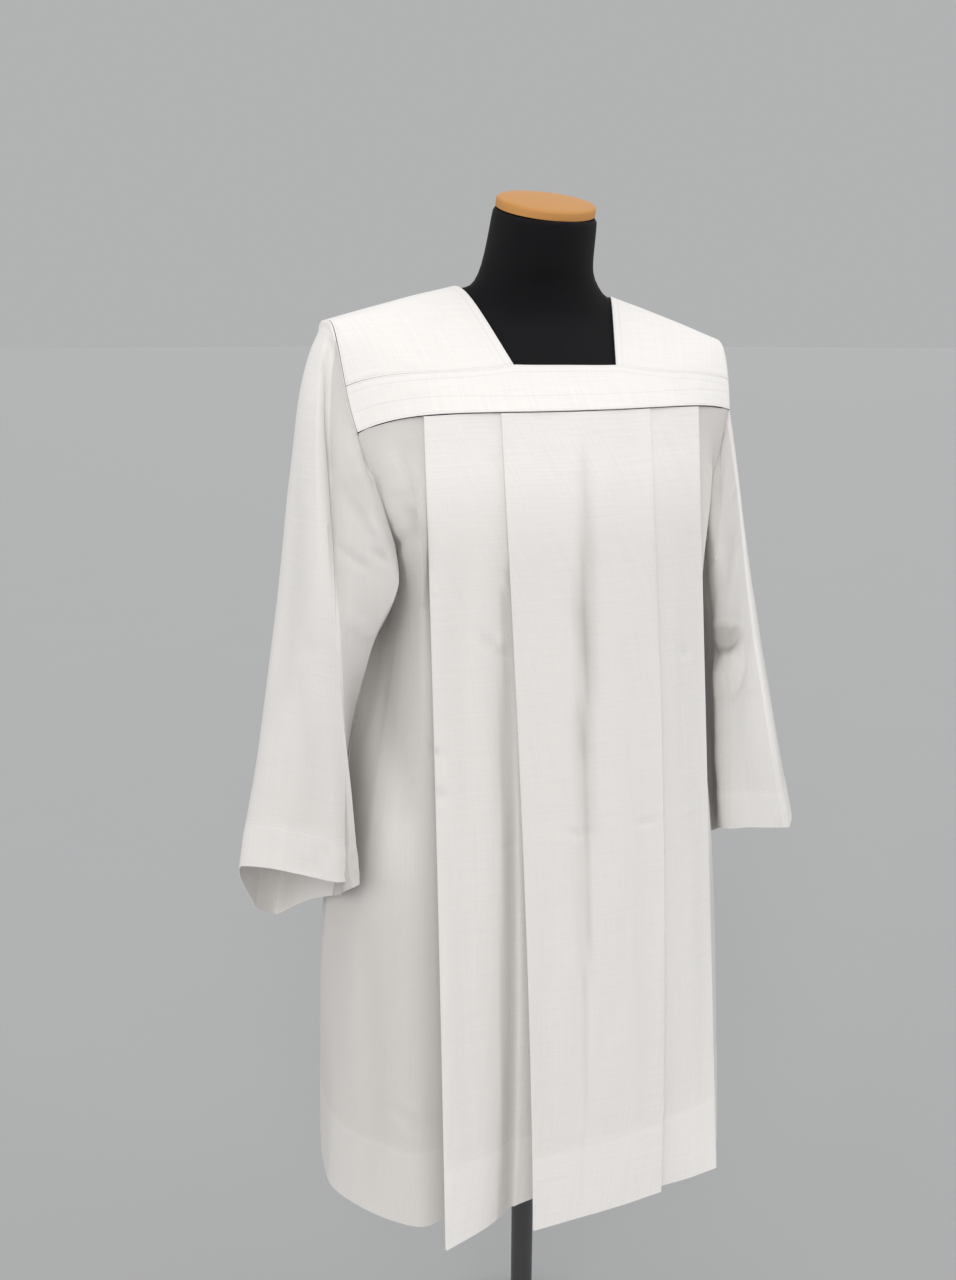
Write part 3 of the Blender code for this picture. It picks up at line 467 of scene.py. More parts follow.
# ---------------------------------------------------------------- form, stand and stage sizes
CAP_RADIUS = 0.0505
CAP_THICKNESS = 0.0090
CAP_ROUND = 0.0032
CAP_ROUND_STEPS = 5
FOOT_ROUND = 0.0040
ROD_ROUND = 0.0004
STEEL_ROUND_STEPS = 4
TURNED_SIDES = 96
NECK_TILT = math.radians(16.5)
FORM_LEVELS = 1
MERGE = 0.00002  # points nearer than this are one
QUAD_ANGLE = math.radians(50)  # two triangles that turn less than this make a quad
FORM_SMOOTH = math.radians(50)
TURNED_SMOOTH = math.radians(40)

STAGE_RADIUS = 60.0
STAGE_SIDES = 96
WORLD_COLOUR = (0.985, 0.992, 1.0)
WORLD_STRENGTH = 0.45
# Wide soft lamps. bearing is the lamp's side, clockwise from the garment's front as seen from above, and
# height its angle above the floor. spread is how wide it looks from the garment.
LAMP_COLUMNS = ("name", "bearing", "height", "spread", "power", "colour")
LAMPS = [
    ("lamp_key", 25, 32, 38, 1.03, (1.0, 0.99, 0.975)),
    ("lamp_dome", -5, 30, 150, 0.80, (1.0, 0.995, 0.985)),
    ("lamp_side", 84, 24, 55, 0.52, (1.0, 0.995, 0.985)),
    ("lamp_fill", -66, 28, 50, 0.54, (0.97, 0.985, 1.0)),
    ("lamp_rim", -150, 30, 60, 0.55, (1.0, 1.0, 1.0)),
]
LAMP_PLACE = 3.0  # height at which the lamps are drawn, which doesn't change their light
CAMERA_PLACE = (-0.50640, -1.14892, 1.45623)
CAMERA_PITCH = math.radians(15.708)
CAMERA_YAW = math.radians(-21.136)
CAMERA_LENS = 32.34
CAMERA_SENSOR = 36
CAMERA_REACH = 100

# ---------------------------------------------------------------- finishes
STITCH_WIDTH = 0.0008
STITCH_SHADE = (0.62, 0.62, 0.61)
STITCH_SHARE = 0.22  # how much of that shade a sewn line takes
STITCH_SINK = 0.22  # millimetres
STITCH_RISE = 0.16
STITCH_LOBE = (3.0, 1.4)  # turns the wave along a sewn line into raised stitches with gaps
HEM_STITCH = 0.002  # from a hem's sewn line to its upper edge
HEM_EDGE = 1500.0  # how sharply a hem's shade starts, for each metre
HEM_SHARE = 0.09  # how much whiter a hem looks than the cloth above it
SLUB_CONTRAST = 2.2
SLUB_SHARE = 0.10
SLUB_SHADE = (0.42, 0.425, 0.43)
WEAVE_RISE = 0.03  # millimetres
# Unevenness of the cloth: how finely it turns across and down, where its pattern starts, its detail and
# roughness, and its rise in millimetres.
CLOTH_NOISE = {
    "weft": (16.0, 520.0, 0.0, 2.0, 0.6, 0.11),
    "warp": (480.0, 10.0, 3.0, 2.0, 0.6, 0.12),
    "broad": (16.0, 10.0, 7.0, 3.0, 0.5, 0.30),
}
# Sewn lines of the yoke's pieces: the UV map that measures from the edge, its coordinate, and the distance.
YOKE_SEWN = {
    "yoke_band_cloth": [("near", 1, 0.0016), ("near", 1, 0.0078), ("far", 1, 0.0180), ("far", 1, 0.0016)],
    "yoke_shoulder_cloth": [
        ("near", 0, 0.0016),
        ("near", 0, 0.0075),
        ("near", 1, 0.0016),
        ("far", 1, 0.0016),
        ("far", 0, 0.0020),
    ],
}
WAVE = 2 * math.pi
BUMP_UNIT = 0.001  # heights of finishes are in millimetres
MIX_SHARE, MIX_COLOURS, MIX_RESULT = 0, (6, 7), 2  # sockets of a Mix node that mixes colours
ATTRIBUTE_VALUE = 2  # the output of an Attribute node that is a single number
JERSEY_COURSE = 0.0011  # from one rib to the next
JERSEY_RANGE = (0.7, 1.9)  # its darkest and lightest, as shares of its colour
STEEL_RANGE = (1.0, 1.8)
FLOOR_RANGE = (0.98, 1.0)
WOOD_LINES = 620.0  # how finely the grain's lines follow each other
WOOD_WANDER = 0.016  # how far they stray
WOOD_LEAN = 30.0  # how much they slant


# ---------------------------------------------------------------- settings
class ClothSettings(bpy.types.PropertyGroup):
    """Colours and sizes of the cloth."""

    colour: bpy.props.FloatVectorProperty(
        name="Cloth",
        description="Colour where one layer lies on the dark form",
        subtype="COLOR",
        default=(0.515, 0.492, 0.468),
    )
    double_colour: bpy.props.FloatVectorProperty(
        name="Double cloth", description="Colour of the yoke", subtype="COLOR", default=(0.915, 0.888, 0.862)
    )
    thread: bpy.props.FloatProperty(
        name="Thread pitch", description="From one thread to the next", unit="LENGTH", default=0.00055
    )
    stitch: bpy.props.FloatProperty(
        name="Stitch length", description="From one stitch to the next", unit="LENGTH", default=0.0026
    )
    skirt_hem: bpy.props.FloatProperty(
        name="Skirt hem", description="Depth of the skirt's hem", unit="LENGTH", default=0.0905
    )
    cuff_hem: bpy.props.FloatProperty(
        name="Cuff hem", description="Depth of the hem at each cuff", unit="LENGTH", default=0.050
    )
    creases: bpy.props.FloatProperty(
        name="Creases",
        description="Strength of the creases, where 1 is as worn",
        subtype="FACTOR",
        default=1.0,
    )


class FormSettings(bpy.types.PropertyGroup):
    """Colours of the dress form and its stand."""

    jersey: bpy.props.FloatVectorProperty(
        name="Jersey",
        description="Colour of the form's cover",
        subtype="COLOR",
        default=(0.0045, 0.0045, 0.0055),
    )
    wood: bpy.props.FloatVectorProperty(
        name="Wood", description="Colour of the neck cap", subtype="COLOR", default=(0.60, 0.27, 0.060)
    )
    wood_grain: bpy.props.FloatVectorProperty(
        name="Grain", description="Colour of the wood's grain", subtype="COLOR", default=(0.36, 0.125, 0.024)
    )
    steel: bpy.props.FloatVectorProperty(
        name="Steel",
        description="Colour of the stand's coating",
        subtype="COLOR",
        default=(0.028, 0.028, 0.030),
    )


class StageSettings(bpy.types.PropertyGroup):
    """The floor and the light."""

    floor: bpy.props.FloatVectorProperty(
        name="Floor", description="Colour of the floor", subtype="COLOR", default=(0.436, 0.439, 0.443)
    )
    light: bpy.props.FloatProperty(
        name="Light", description="Strength of all the lamps", default=1.0, min=0.0
    )


def cloth_settings():
    return bpy.context.scene.surplice_cloth


def form_settings():
    return bpy.context.scene.surplice_form


def stage_settings():
    return bpy.context.scene.surplice_stage


# ---------------------------------------------------------------- small tools
def rows_of(columns, table):
    """The rows of a table as dictionaries."""
    return [dict(zip(columns, row)) for row in table]


def marks_on(table, part):
    """The creases or spots of one part, each with its face."""
    made = []
    for (owner, face), rows in table.items():
        if owner == part:
            for across, down, end_across, end_down, bend, width, height in rows:
                mark = {"face": face, "start": (across, down), "end": (end_across, end_down)}
                made.append({**mark, "bend": bend, "width": width, "height": height})
    return made


def lerp(a, b, t):
    """What lies between a and b, at share t of the way."""
    return a + (b - a) * t


def blend(points, tangents, u):
    """The cubic between two points at share u, with the tangent at each."""
    a, b = 2 * u**3 - 3 * u**2 + 1, u**3 - 2 * u**2 + u
    c, d = -2 * u**3 + 3 * u**2, u**3 - u**2
    return a * points[0] + b * tangents[0] + c * points[1] + d * tangents[1]


def through(keys, values, t):
    """The smooth curve through values, given at the keys, at t."""
    values = [np.array(value, float) for value in values]
    i = min(max(int(np.searchsorted(keys, t, side="right")) - 1, 0), len(keys) - 2)
    width = keys[i + 1] - keys[i]

    def slope(j):
        low, high = max(j - 1, 0), min(j + 1, len(keys) - 1)
        return (values[high] - values[low]) / (keys[high] - keys[low])

    return blend(values[i : i + 2], (width * slope(i), width * slope(i + 1)), (t - keys[i]) / width)


def line_through(points, roundness, spans, closed):
    """A line of mesh points through the given points: a corner at roundness 0, a smooth curve at 1."""
    count = len(points)
    gaps = [np.linalg.norm(points[(i + 1) % count] - points[i]) for i in range(count)]

    def heading(i):
        before, after = (i - 1) % count, (i + 1) % count
        if not closed and i in (0, count - 1):
            return None
        return (points[after] - points[before]) / (gaps[before] + gaps[i])

    made = []
    for i in range(count if closed else count - 1):
        j = (i + 1) % count
        chord = points[j] - points[i]
        tangents = []
        for k in (i, j):
            smooth = heading(k)
            tangents.append(chord if smooth is None else lerp(chord, smooth * gaps[i], roundness[k]))
        for k in range(spans[i]):
            made.append(blend((points[i], points[j]), tangents, k / spans[i]))
    if not closed:
        made.append(points[-1])
    return np.array(made)


def grid_normals(grid, closed):
    """Unit normals of a grid of points, rows by columns."""
    if closed:
        across = np.roll(grid, -1, axis=1) - np.roll(grid, 1, axis=1)
    else:
        across = np.gradient(grid, axis=1)
    normal = np.cross(across, np.gradient(grid, axis=0))
    return normal / np.linalg.norm(normal, axis=2, keepdims=True)


# ---------------------------------------------------------------- the shoulder surface
def seam_fore(side, x):
    """How far the yoke's lower seam stands from the shoulder line at x."""
    return SIDES[side]["seam"] - SIDES[side]["seam_curve"] * x * x


def seam_drop(side, x):
    """Drop of the yoke's lower seam at x."""
    hand = LEFT if x > 0 else RIGHT
    share = abs(x) / SHOULDER_HALF_WIDTH
    return SIDES[side]["seam_drop"] + HANDS[hand]["corner_drop"] * share**CORNER_DROP_POWER


def crest_drop(x):
    """Drop of the shoulder line at x."""
    return CREST_SLOPE * (math.hypot(x, CREST_ROUND) - CREST_ROUND) - CREST_RISE + CREST_TILT * x


def shoulder_point(side, x, fore, lift):
    """A point of the surface that the yoke lies on, moved out along its normal by lift."""

    def height(u, v):
        top, bottom = crest_drop(u), seam_drop(side, u)
        reach = math.hypot(seam_fore(side, u), RIDGE_ROUND) - RIDGE_ROUND
        share = (math.hypot(v, RIDGE_ROUND) - RIDGE_ROUND) / reach
        power = FALL_POWER + FALL_POWER_GAIN * (abs(u) / SHOULDER_HALF_WIDTH) ** 3
        return CREST_HEIGHT - lerp(top, bottom, share**power)

    step = NORMAL_STEP
    sign = SIDES[side]["sign"]
    slope_x = (height(x + step, fore) - height(x - step, fore)) / (2 * step)
    slope_fore = (height(x, fore + step) - height(x, fore - step)) / (2 * step)
    normal = np.array([-slope_x, -slope_fore * sign, 1.0])
    return np.array([x, sign * fore, height(x, fore)]) + lift * normal / np.linalg.norm(normal)


def garment_point(side, hand, x, fore, drop):
    """A point from its distance to the centre, its fore and its drop."""
    return hand_point(hand, x, SIDES[side]["sign"] * fore, drop)


def hand_point(hand, x, y, drop):
    """A point from its distance to the centre, its y and its drop."""
    return np.array([hand * x, y, CREST_HEIGHT - drop])


# ---------------------------------------------------------------- armhole
def corner(side, hand):
    """Where the yoke's lower corner stands: x and fore."""
    x = HANDS[hand]["armhole_x"] - HANDS[hand]["tuck_in"]
    return x, seam_fore(side, x)


def armhole_x(side, hand, fore):
    """Half width of the yoke at this distance from the shoulder line."""
    share = fore / corner(side, hand)[1]
    return HANDS[hand]["armhole_x"] - HANDS[hand]["tuck_in"] * share**TUCK_IN_POWER


def band_reach(x):
    """How far the band reaches back from the lower seam, at this distance from the centre."""
    share = max(0.0, x - NECK_EDGE_X) / (SHOULDER_HALF_WIDTH - NECK_EDGE_X)
    return lerp(BAND_REACH_AT_NECK, BAND_REACH_AT_ARMHOLE, share)


def band_top(side, x):
    """How far the band's upper seam stands from the shoulder line at x."""
    past_neck = max(abs(x), NECK_EDGE_X)
    bow = NECK_CENTRE_BOW * max(0.0, 1 - (x / NECK_EDGE_X) ** 2)
    return seam_fore(side, past_neck) - band_reach(past_neck) + bow


def band_end(side, hand, share):
    """A point of the band's end, as x and fore: share 0 at its upper seam and 1 at the yoke's corner."""
    x, fore = corner(side, hand)
    for _ in range(BAND_END_TRIES):
        fore = lerp(band_top(side, x), seam_fore(side, x), share)
        x = armhole_x(side, hand, fore)
    return x, fore


def armhole_half(side, hand, lift, steps):
    """The armhole's points from the shoulder line to the underarm, with this many for each of its spans."""
    made = []
    top_fore = band_end(side, hand, 0)[1]
    for k in range(SHOULDER_ROWS * steps):
        fore = top_fore * k / (SHOULDER_ROWS * steps)
        made.append(shoulder_point(side, hand * armhole_x(side, hand, fore), fore, lift))
    for k in range(BAND_ROWS * steps + 1):
        x, fore = band_end(side, hand, k / (BAND_ROWS * steps))
        made.append(shoulder_point(side, hand * x, fore, lift))
    pulls = [garment_point(side, hand, *pull) for pull in ARMHOLE_PULL[(side, hand)]]
    end = garment_point(side, hand, *UNDERARM)
    start = made[-1]
    for k in range(1, PIT_STEPS * steps + 1):
        t = k / (PIT_STEPS * steps)
        weights = ((1 - t) ** 3, 3 * t * (1 - t) ** 2, 3 * t * t * (1 - t), t**3)
        made.append(weights[0] * start + weights[1] * pulls[0] + weights[2] * pulls[1] + weights[3] * end)
    return made


def armhole_loop(hand, lift, steps):
    """The whole armhole: down its front from the shoulder line, and back up its back."""
    front, back = (armhole_half(side, hand, lift, steps) for side in SIDES)
    return np.array(front + back[-2:0:-1])


# ---------------------------------------------------------------- the skirt's lines
def pleat_line(side, hand, row, s):
    """A point of one pleat line at share s of the way from the yoke's seam to the hem."""
    opening = PLEAT_OPENING[(side, hand)] * s**OPENING_POWER
    top_x = row["top_x"]
    top_fore = seam_fore(side, top_x) - row["layer"] * LAYER_PITCH
    top_drop = seam_drop(side, hand * top_x) + SEAM_GAP + CLOTH
    hang = 1 - (1 - s) ** row["ease"]
    x = lerp(top_x, row["hem_x"], s) + row["open_x"] * opening
    fore = lerp(top_fore, row["hem_fore"] * SIDES[side]["hem"], hang) + row["open_fore"] * opening
    return garment_point(side, hand, x, fore, lerp(top_drop, GARMENT_DROP, s))


def side_tops(side, hand):
    """Where the side's lines start: first on the yoke's seam, then on the armhole."""
    tops = []
    for x, layer in YOKE_LINES:
        fore = seam_fore(side, x) - layer * LAYER_PITCH
        tops.append(garment_point(side, hand, x, fore, seam_drop(side, hand * x) + SEAM_GAP + CLOTH))
    return tops + armhole_half(side, hand, 0.0, 1)[SHOULDER_ROWS + BAND_ROWS :]


def side_line(side, hand, k, top, s):
    """A point of the side's line number k, which starts at top, at share s of the way to the hem."""
    yoke_lines = len(YOKE_LINES)
    place = min(k, yoke_lines + (k - yoke_lines) / 2)
    at_side_seam = k == yoke_lines + PIT_STEPS
    shape = SIDE_SHAPE[(side, hand)]
    places, drops = [], []
    for section, section_drop in enumerate(SECTION_DROP.values()):
        if section_drop < CREST_HEIGHT - top[2] + SECTION_CLEARANCE:
            continue
        x, fore = through(range(len(shape)), [row[section] for row in shape], place)
        if at_side_seam:
            fore = (SEAM_GAP + CLOTH) / 2
        places.append(garment_point(side, hand, x, fore, section_drop))
        drops.append(section_drop)
    if k >= yoke_lines:
        away = places[0] - top
        top = top + away / np.linalg.norm(away) * (SEAM_GAP + CLOTH)
    if at_side_seam:
        top[1] = places[0][1]
    drops.insert(0, CREST_HEIGHT - top[2])
    drop = lerp(drops[0], GARMENT_DROP, s)
    point = through(drops, [top] + places, drop)
    point[2] = CREST_HEIGHT - drop
    if side == "front" and k == 0:
        near = math.exp(-(((drop - ARM_FOLD["drop"]) / ARM_FOLD["reach"]) ** 2))
        point[1] += SIDES[side]["sign"] * ARM_FOLD["fore"] * near * min(1.0, s * SKIRT_ROWS)
    return point


# ---------------------------------------------------------------- cloth shells
def smooth_step(low, high, values):
    """0 up to low and 1 from high, with a smooth way between."""
    share = np.clip((values - low) / (high - low), 0.0, 1.0)
    return share * share * (3 - 2 * share)


def arc_lengths(grid, axis):
    """Distance along a grid's rows or columns from its first line."""
    steps = np.linalg.norm(np.diff(grid, axis=axis), axis=2)
    pad = [(0, 0), (0, 0)]
    pad[axis] = (1, 0)
    return np.cumsum(np.pad(steps, pad), axis=axis)


def spans_for(points, pitch):
    """Mesh spans between control points, so that each is about one pitch wide."""
    return [max(1, round(np.linalg.norm(b - a) / pitch)) for a, b in zip(points, points[1:])]


def places_for(spans):
    """The control point that each mesh point lies past, with its share of the way to the next."""
    made = []
    for i, count in enumerate(spans):
        made += [i + k / count for k in range(count)]
    return np.array(made + [len(spans)])


def on_cloth(points, axes, place):
    """The point of the cloth nearest to a place, seen square to two axes. Heights are given as drops."""
    shown = np.stack([CREST_HEIGHT - points[:, a] if a == 2 else points[:, a] for a in axes], axis=1)
    return points[np.argmin(np.sum((shown - np.array(place)) ** 2, axis=1))]


def crease_line(points, axes, mark):
    """The path of a crease over the cloth."""
    start, end = np.array(mark["start"], float), np.array(mark["end"], float)
    across = np.array([-(end - start)[1], (end - start)[0]]) * mark["bend"]
    shares = np.linspace(0, 1, CREASE_POINTS)
    return np.array([on_cloth(points, axes, lerp(start, end, t) + 4 * t * (1 - t) * across) for t in shares])


def crease_push(points, line, mark):
    """How far each point moves out for one crease: a soft trough or ridge that dies out at both ends."""
    nearest = np.full(len(points), np.inf)
    along = np.zeros(len(points))
    for i, (a, b) in enumerate(zip(line, line[1:])):
        way = b - a
        length = max(float(way @ way), SHORTEST_WAY)
        share = np.clip((points - a) @ way / length, 0, 1)
        distance = np.linalg.norm(points - a - share[:, None] * way, axis=1)
        closer = distance < nearest
        nearest[closer] = distance[closer]
        along[closer] = (i + share[closer]) / (len(line) - 1)
    wide = nearest / mark["width"]
    profile = np.exp(-(wide**2)) - CREASE_SHOULDER * np.exp(-((wide / CREASE_SHOULDER_WIDTH) ** 2))
    ends = np.sin(math.pi * np.clip(along, CREASE_TIP, 1 - CREASE_TIP)) ** CREASE_FADE
    return mark["height"] * profile * ends


def pressed(grid, faces, marks):
    """What the marks add up to at each point. faces gives each face's columns, and the axes of its marks."""
    flat = grid.reshape(-1, 3)
    moved = np.zeros(len(flat))
    for mark in marks:
        columns, axes = faces[mark["face"]]
        shown = np.flatnonzero(np.broadcast_to(columns, grid.shape[:2]).reshape(-1))
        line = crease_line(flat[shown], axes, mark)
        low, high = line.min(0) - CREASE_REACH * mark["width"], line.max(0) + CREASE_REACH * mark["width"]
        near = shown[np.all((flat[shown] > low) & (flat[shown] < high), axis=1)]
        moved[near] += crease_push(flat[near], line, mark)
    return moved.reshape(grid.shape[:2])


def painted_marks(grid, faces, marks):
    """How much darker each point is painted by marks whose height is a share, as painted shade, or whiter by
    those below 0, as painted light.
    """
    dark = pressed(grid, faces, [mark for mark in marks if mark["height"] > 0])
    light = pressed(grid, faces, [mark for mark in marks if mark["height"] < 0])
    return np.maximum(dark, 0) + np.minimum(light, 0)


def ripple(grid, outward, keep, height, pitch, seed):
    """The grid with the small unevenness of cloth that hangs free."""
    flat = grid.reshape(-1, 3)
    wave = [noise.noise(Vector((p[0] / pitch[0] + seed, p[1] / pitch[0], p[2] / pitch[1]))) for p in flat]
    return grid + outward * (np.array(wave).reshape(grid.shape[:2]) * height * keep)[..., None]


def shell(name, grid, thickness, closed, finish, node, backing_and_shade):
    """A thin closed shell of cloth round a grid of its middle points, in place of one solid. The last
    argument says how white each point is painted: 1 where it lies on more cloth, 0 where it lies on the dark
    form, with painted light and painted shade added to it."""
    rows, columns = grid.shape[:2]
    wrapped = np.concatenate([grid, grid[:, :1]], axis=1) if closed else grid
    across, down = arc_lengths(wrapped, 1), arc_lengths(wrapped, 0)
    near = np.stack([across, down], axis=2)
    far = np.stack([across[:, -1:] - across, down[-1:] - down], axis=2)
    r, c = np.meshgrid(np.arange(rows - 1), np.arange(wrapped.shape[1] - 1), indexing="ij")
    r, c = r.ravel(), c.ravel()
    corners = [(r, c), (r, c + 1), (r + 1, c + 1), (r + 1, c)]
    faces = np.stack([a * columns + b % columns for a, b in corners], axis=1)
    mesh = bpy.data.meshes.new(name)
    mesh.from_pydata(grid.reshape(-1, 3).tolist(), [], faces.tolist())
    for map_name, values in (("near", near), ("far", far)):
        layer = mesh.uv_layers.new(name=map_name)
        spread = np.stack([values[a, b] for a, b in corners], axis=1)
        layer.data.foreach_set("uv", spread.reshape(-1).astype(np.float32))
    # a point attribute that holds how white the cloth is, with its painted light and painted shade
    layer = mesh.attributes.new("backing_and_shade", "FLOAT", "POINT")
    layer.data.foreach_set("value", np.clip(backing_and_shade, 0, 1).reshape(-1).astype(np.float32))
    piece = bpy.data.objects.new(name, mesh)
    bpy.context.scene.collection.objects.link(piece)
    choose(piece)
    wall = piece.modifiers.new("Wall", "SOLIDIFY")
    wall.thickness = thickness
    wall.offset = 0.0
    wall.use_even_offset = False
    bpy.ops.object.modifier_apply(modifier=wall.name)
    piece.data.shade_smooth()
    piece.data.set_sharp_from_angle(angle=RIM_ANGLE)
    piece.data.materials.append(finish)
    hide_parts(node)
    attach(piece, "root")
    return piece


# ---------------------------------------------------------------- skirt
def round_fold(side, hand, point, out):
    """Points round a fold, from the layer that arrives to the layer that leaves."""
    inward = np.array([0, -SIDES[side]["sign"] * FOLD_RADIUS, 0])
    tip = np.array([hand * out * FOLD_RADIUS, 0, 0])
    turns = [math.pi * k / FOLD_STEPS for k in range(FOLD_STEPS + 1)]
    return [point + inward * (1 - math.cos(turn)) + tip * math.sin(turn) for turn in turns]


def skirt_controls(side, hand, s, tops):
    """Control points of half a row, their roundness, and where the faces that show start and end."""
    points, roundness, marks = [], [], {}
    for row in rows_of(PLEAT_COLUMNS, PLEATS):
        point = pleat_line(side, hand, row, s)
        turned = round_fold(side, hand, point, row["out"]) if row["turn"] else [point]
        marks[row["name"]] = len(points)
        points += turned
        roundness += [0.0 if row["turn"] else HANGING_ROUNDNESS] * len(turned)
    for k, top in enumerate(tops):
        points.append(side_line(side, hand, k, top, s))
        roundness.append(HANGING_ROUNDNESS)
    return points, roundness, marks


def skirt_grid(side):
    """The panel's grid, and the name of the face that each column lies on, or hidden."""
    halves, names = [], []
    for hand in (RIGHT, LEFT):
        tops = side_tops(side, hand)
        model, _, marks = skirt_controls(side, hand, MODEL_SHARE, tops)
        spans = spans_for(model, SKIRT_PITCH)
        rows = []
        for r in range(SKIRT_FINE_ROWS + 1):
            points, roundness, _ = skirt_controls(side, hand, r / SKIRT_FINE_ROWS, tops)
            rows.append(line_through(points, roundness, spans, closed=False))
        place = places_for(spans)
        knife = (place >= marks["knife_root"]) & (place <= marks["knife_edge"])
        halves.append(np.array(rows))
        faces = [place <= marks["box_edge"], knife, place >= marks["side_root"]]
        names.append(np.select(faces, ["box", f"knife_{HANDS[hand]['name']}", "side"], "hidden"))
    right, left = halves
    grid = np.concatenate([right[:, ::-1], left[:, 1:]], axis=1)
    return grid, np.concatenate([names[0][::-1], names[1][1:]])


def skirt_backing_and_shade(side, grid, names, faces):
    """How white each point of the panel is painted: by what lies behind it, with painted light near the yoke
    and the painted shade and light of the marks.
    """
    backing_and_shade = np.where(names == "side", SIDE_BACKING_AND_SHADE, PLEAT_BACKING) * np.ones(grid.shape[:2])
    for (owner, face), strip in SINGLE_STRIPS.items():
        if owner == side:
            edge = np.interp(CREST_HEIGHT - grid[..., 2], *zip(*strip))
            single = 1 - smooth_step(-SINGLE_SOFT, SINGLE_SOFT, np.abs(grid[..., 0]) - edge)
            backing_and_shade -= (PLEAT_BACKING - SIDE_BACKING_AND_SHADE) * single * (names == face)
    # painted light: the pleats whiter near the yoke, as if lit from above
    share, start, end = TOP_PAINTED_LIGHT
    backing_and_shade += share * (names != "side") * (1 - smooth_step(start, end, CREST_HEIGHT - grid[..., 2]))
    # painted shade and painted light from the skirt's marks
    return backing_and_shade - painted_marks(grid, faces, marks_on(SKIRT_PAINTED_SHADE, side))


def skirt(side):
    """The front or back panel with its pleats, creases and hem."""
    settings = cloth_settings()
    grid, names = skirt_grid(side)
    shown = names != "hidden"
    outward = grid_normals(grid, closed=False) * SIDES[side]["sign"]
    drop = arc_lengths(grid, 0)
    keep = smooth_step(0.0, SEAM_HOLD, drop) * shown
    grid = ripple(grid, outward, keep, RIPPLE_HEIGHT, SKIRT_RIPPLE, SIDES[side]["sign"])
    faces = {name: (names == name, (0, 2)) for name in np.unique(names)}
    faces["all"] = (shown, (0, 2))
    depth = pressed(grid, faces, marks_on(SKIRT_CREASES, side)) * keep * settings.creases
    # painted shade in the troughs, added to the panel's painted light and shade
    backing_and_shade = skirt_backing_and_shade(side, grid, names, faces) + DIP_SHADE * np.minimum(depth, 0)
    grid = grid + outward * depth[..., None]
    above_hem = arc_lengths(grid, 0)[-1:] - arc_lengths(grid, 0)
    hem = 1 - smooth_step(settings.skirt_hem - HEM_STEP, settings.skirt_hem + HEM_STEP, above_hem)
    grid = grid + outward * (hem * HEM_RISE * shown)[..., None]
    finish = hemmed_cloth("skirt_cloth", settings.skirt_hem)
    piece = shell(f"cloth_skirt_{side}", grid, CLOTH, False, finish, f"skirt_{side}", backing_and_shade)


# ---------------------------------------------------------------- yoke
def neck_x(side, fore):
    """Half width of the neck opening at this distance from the shoulder line."""
    return lerp(NECK_CREST_X, NECK_EDGE_X, fore / SIDES[side]["neck"])


def yoke_band(side):
    """The straight band across the front or back."""
    grid = []
    rows, columns = YOKE_BAND_FINE
    for r in range(rows + 1):
        row = []
        share = r / rows
        for c in range(columns + 1):
            u = math.sin(math.pi * (c / columns - 0.5))
            hand = LEFT if u > 0 else RIGHT
            x = u * (band_end(side, hand, share)[0] - SEAM_GAP)
            fore = lerp(band_top(side, x) + SEAM_GAP, seam_fore(side, x), share)
            row.append(shoulder_point(side, x, fore, YOKE_CLOTH / 2))
        grid.append(row)
    yoke_piece(f"yoke_band_{side}", np.array(grid), SIDES[side]["sign"], "yoke_band_cloth")


def yoke_shoulder(hand):
    """The piece over one shoulder, from the front band to the back one."""
    grid = []
    rows, columns = YOKE_SHOULDER_FINE
    for r in range(-rows, rows + 1):
        side = "front" if r <= 0 else "back"
        v = abs(r) / rows
        end_x, end_fore = band_end(side, hand, 0)
        inner = neck_x(side, v * SIDES[side]["neck"])
        outer = armhole_x(side, hand, v * end_fore) - SEAM_GAP
        row = []
        for c in range(columns + 1):
            u = c / columns
            fore = v * (band_top(side, lerp(NECK_EDGE_X, end_x, u)) - SEAM_GAP)
            row.append(shoulder_point(side, hand * lerp(inner, outer, u), fore, YOKE_CLOTH / 2))
        grid.append(row)
    yoke_piece(f"yoke_shoulder_{HANDS[hand]['name']}", np.array(grid), 1, "yoke_shoulder_cloth")


def yoke_piece(node, grid, seed, cloth):
    """A yoke piece on its grid of middle points, with its creases."""
    outward = grid_normals(grid, closed=False)
    outward *= np.sign(outward[..., 2:])
    across, down = arc_lengths(grid, 1), arc_lengths(grid, 0)
    inside = np.minimum.reduce([across, across[:, -1:] - across, down, down[-1:] - down])
    keep = smooth_step(0.0, YOKE_HOLD, inside)
    grid = ripple(grid, outward, keep, YOKE_RIPPLE_HEIGHT, YOKE_RIPPLE, seed)
    faces = {"all": (np.ones(grid.shape[1], bool), (0, 1))}
    depth = pressed(grid, faces, marks_on(YOKE_CREASES, node))
    grid = grid + outward * (depth * keep)[..., None]
    finish = once(cloth, lambda: woven(cloth, YOKE_SEWN[cloth]))
    piece = shell(f"cloth_{node}", grid, YOKE_CLOTH, False, finish, node, np.ones(grid.shape[:2]))


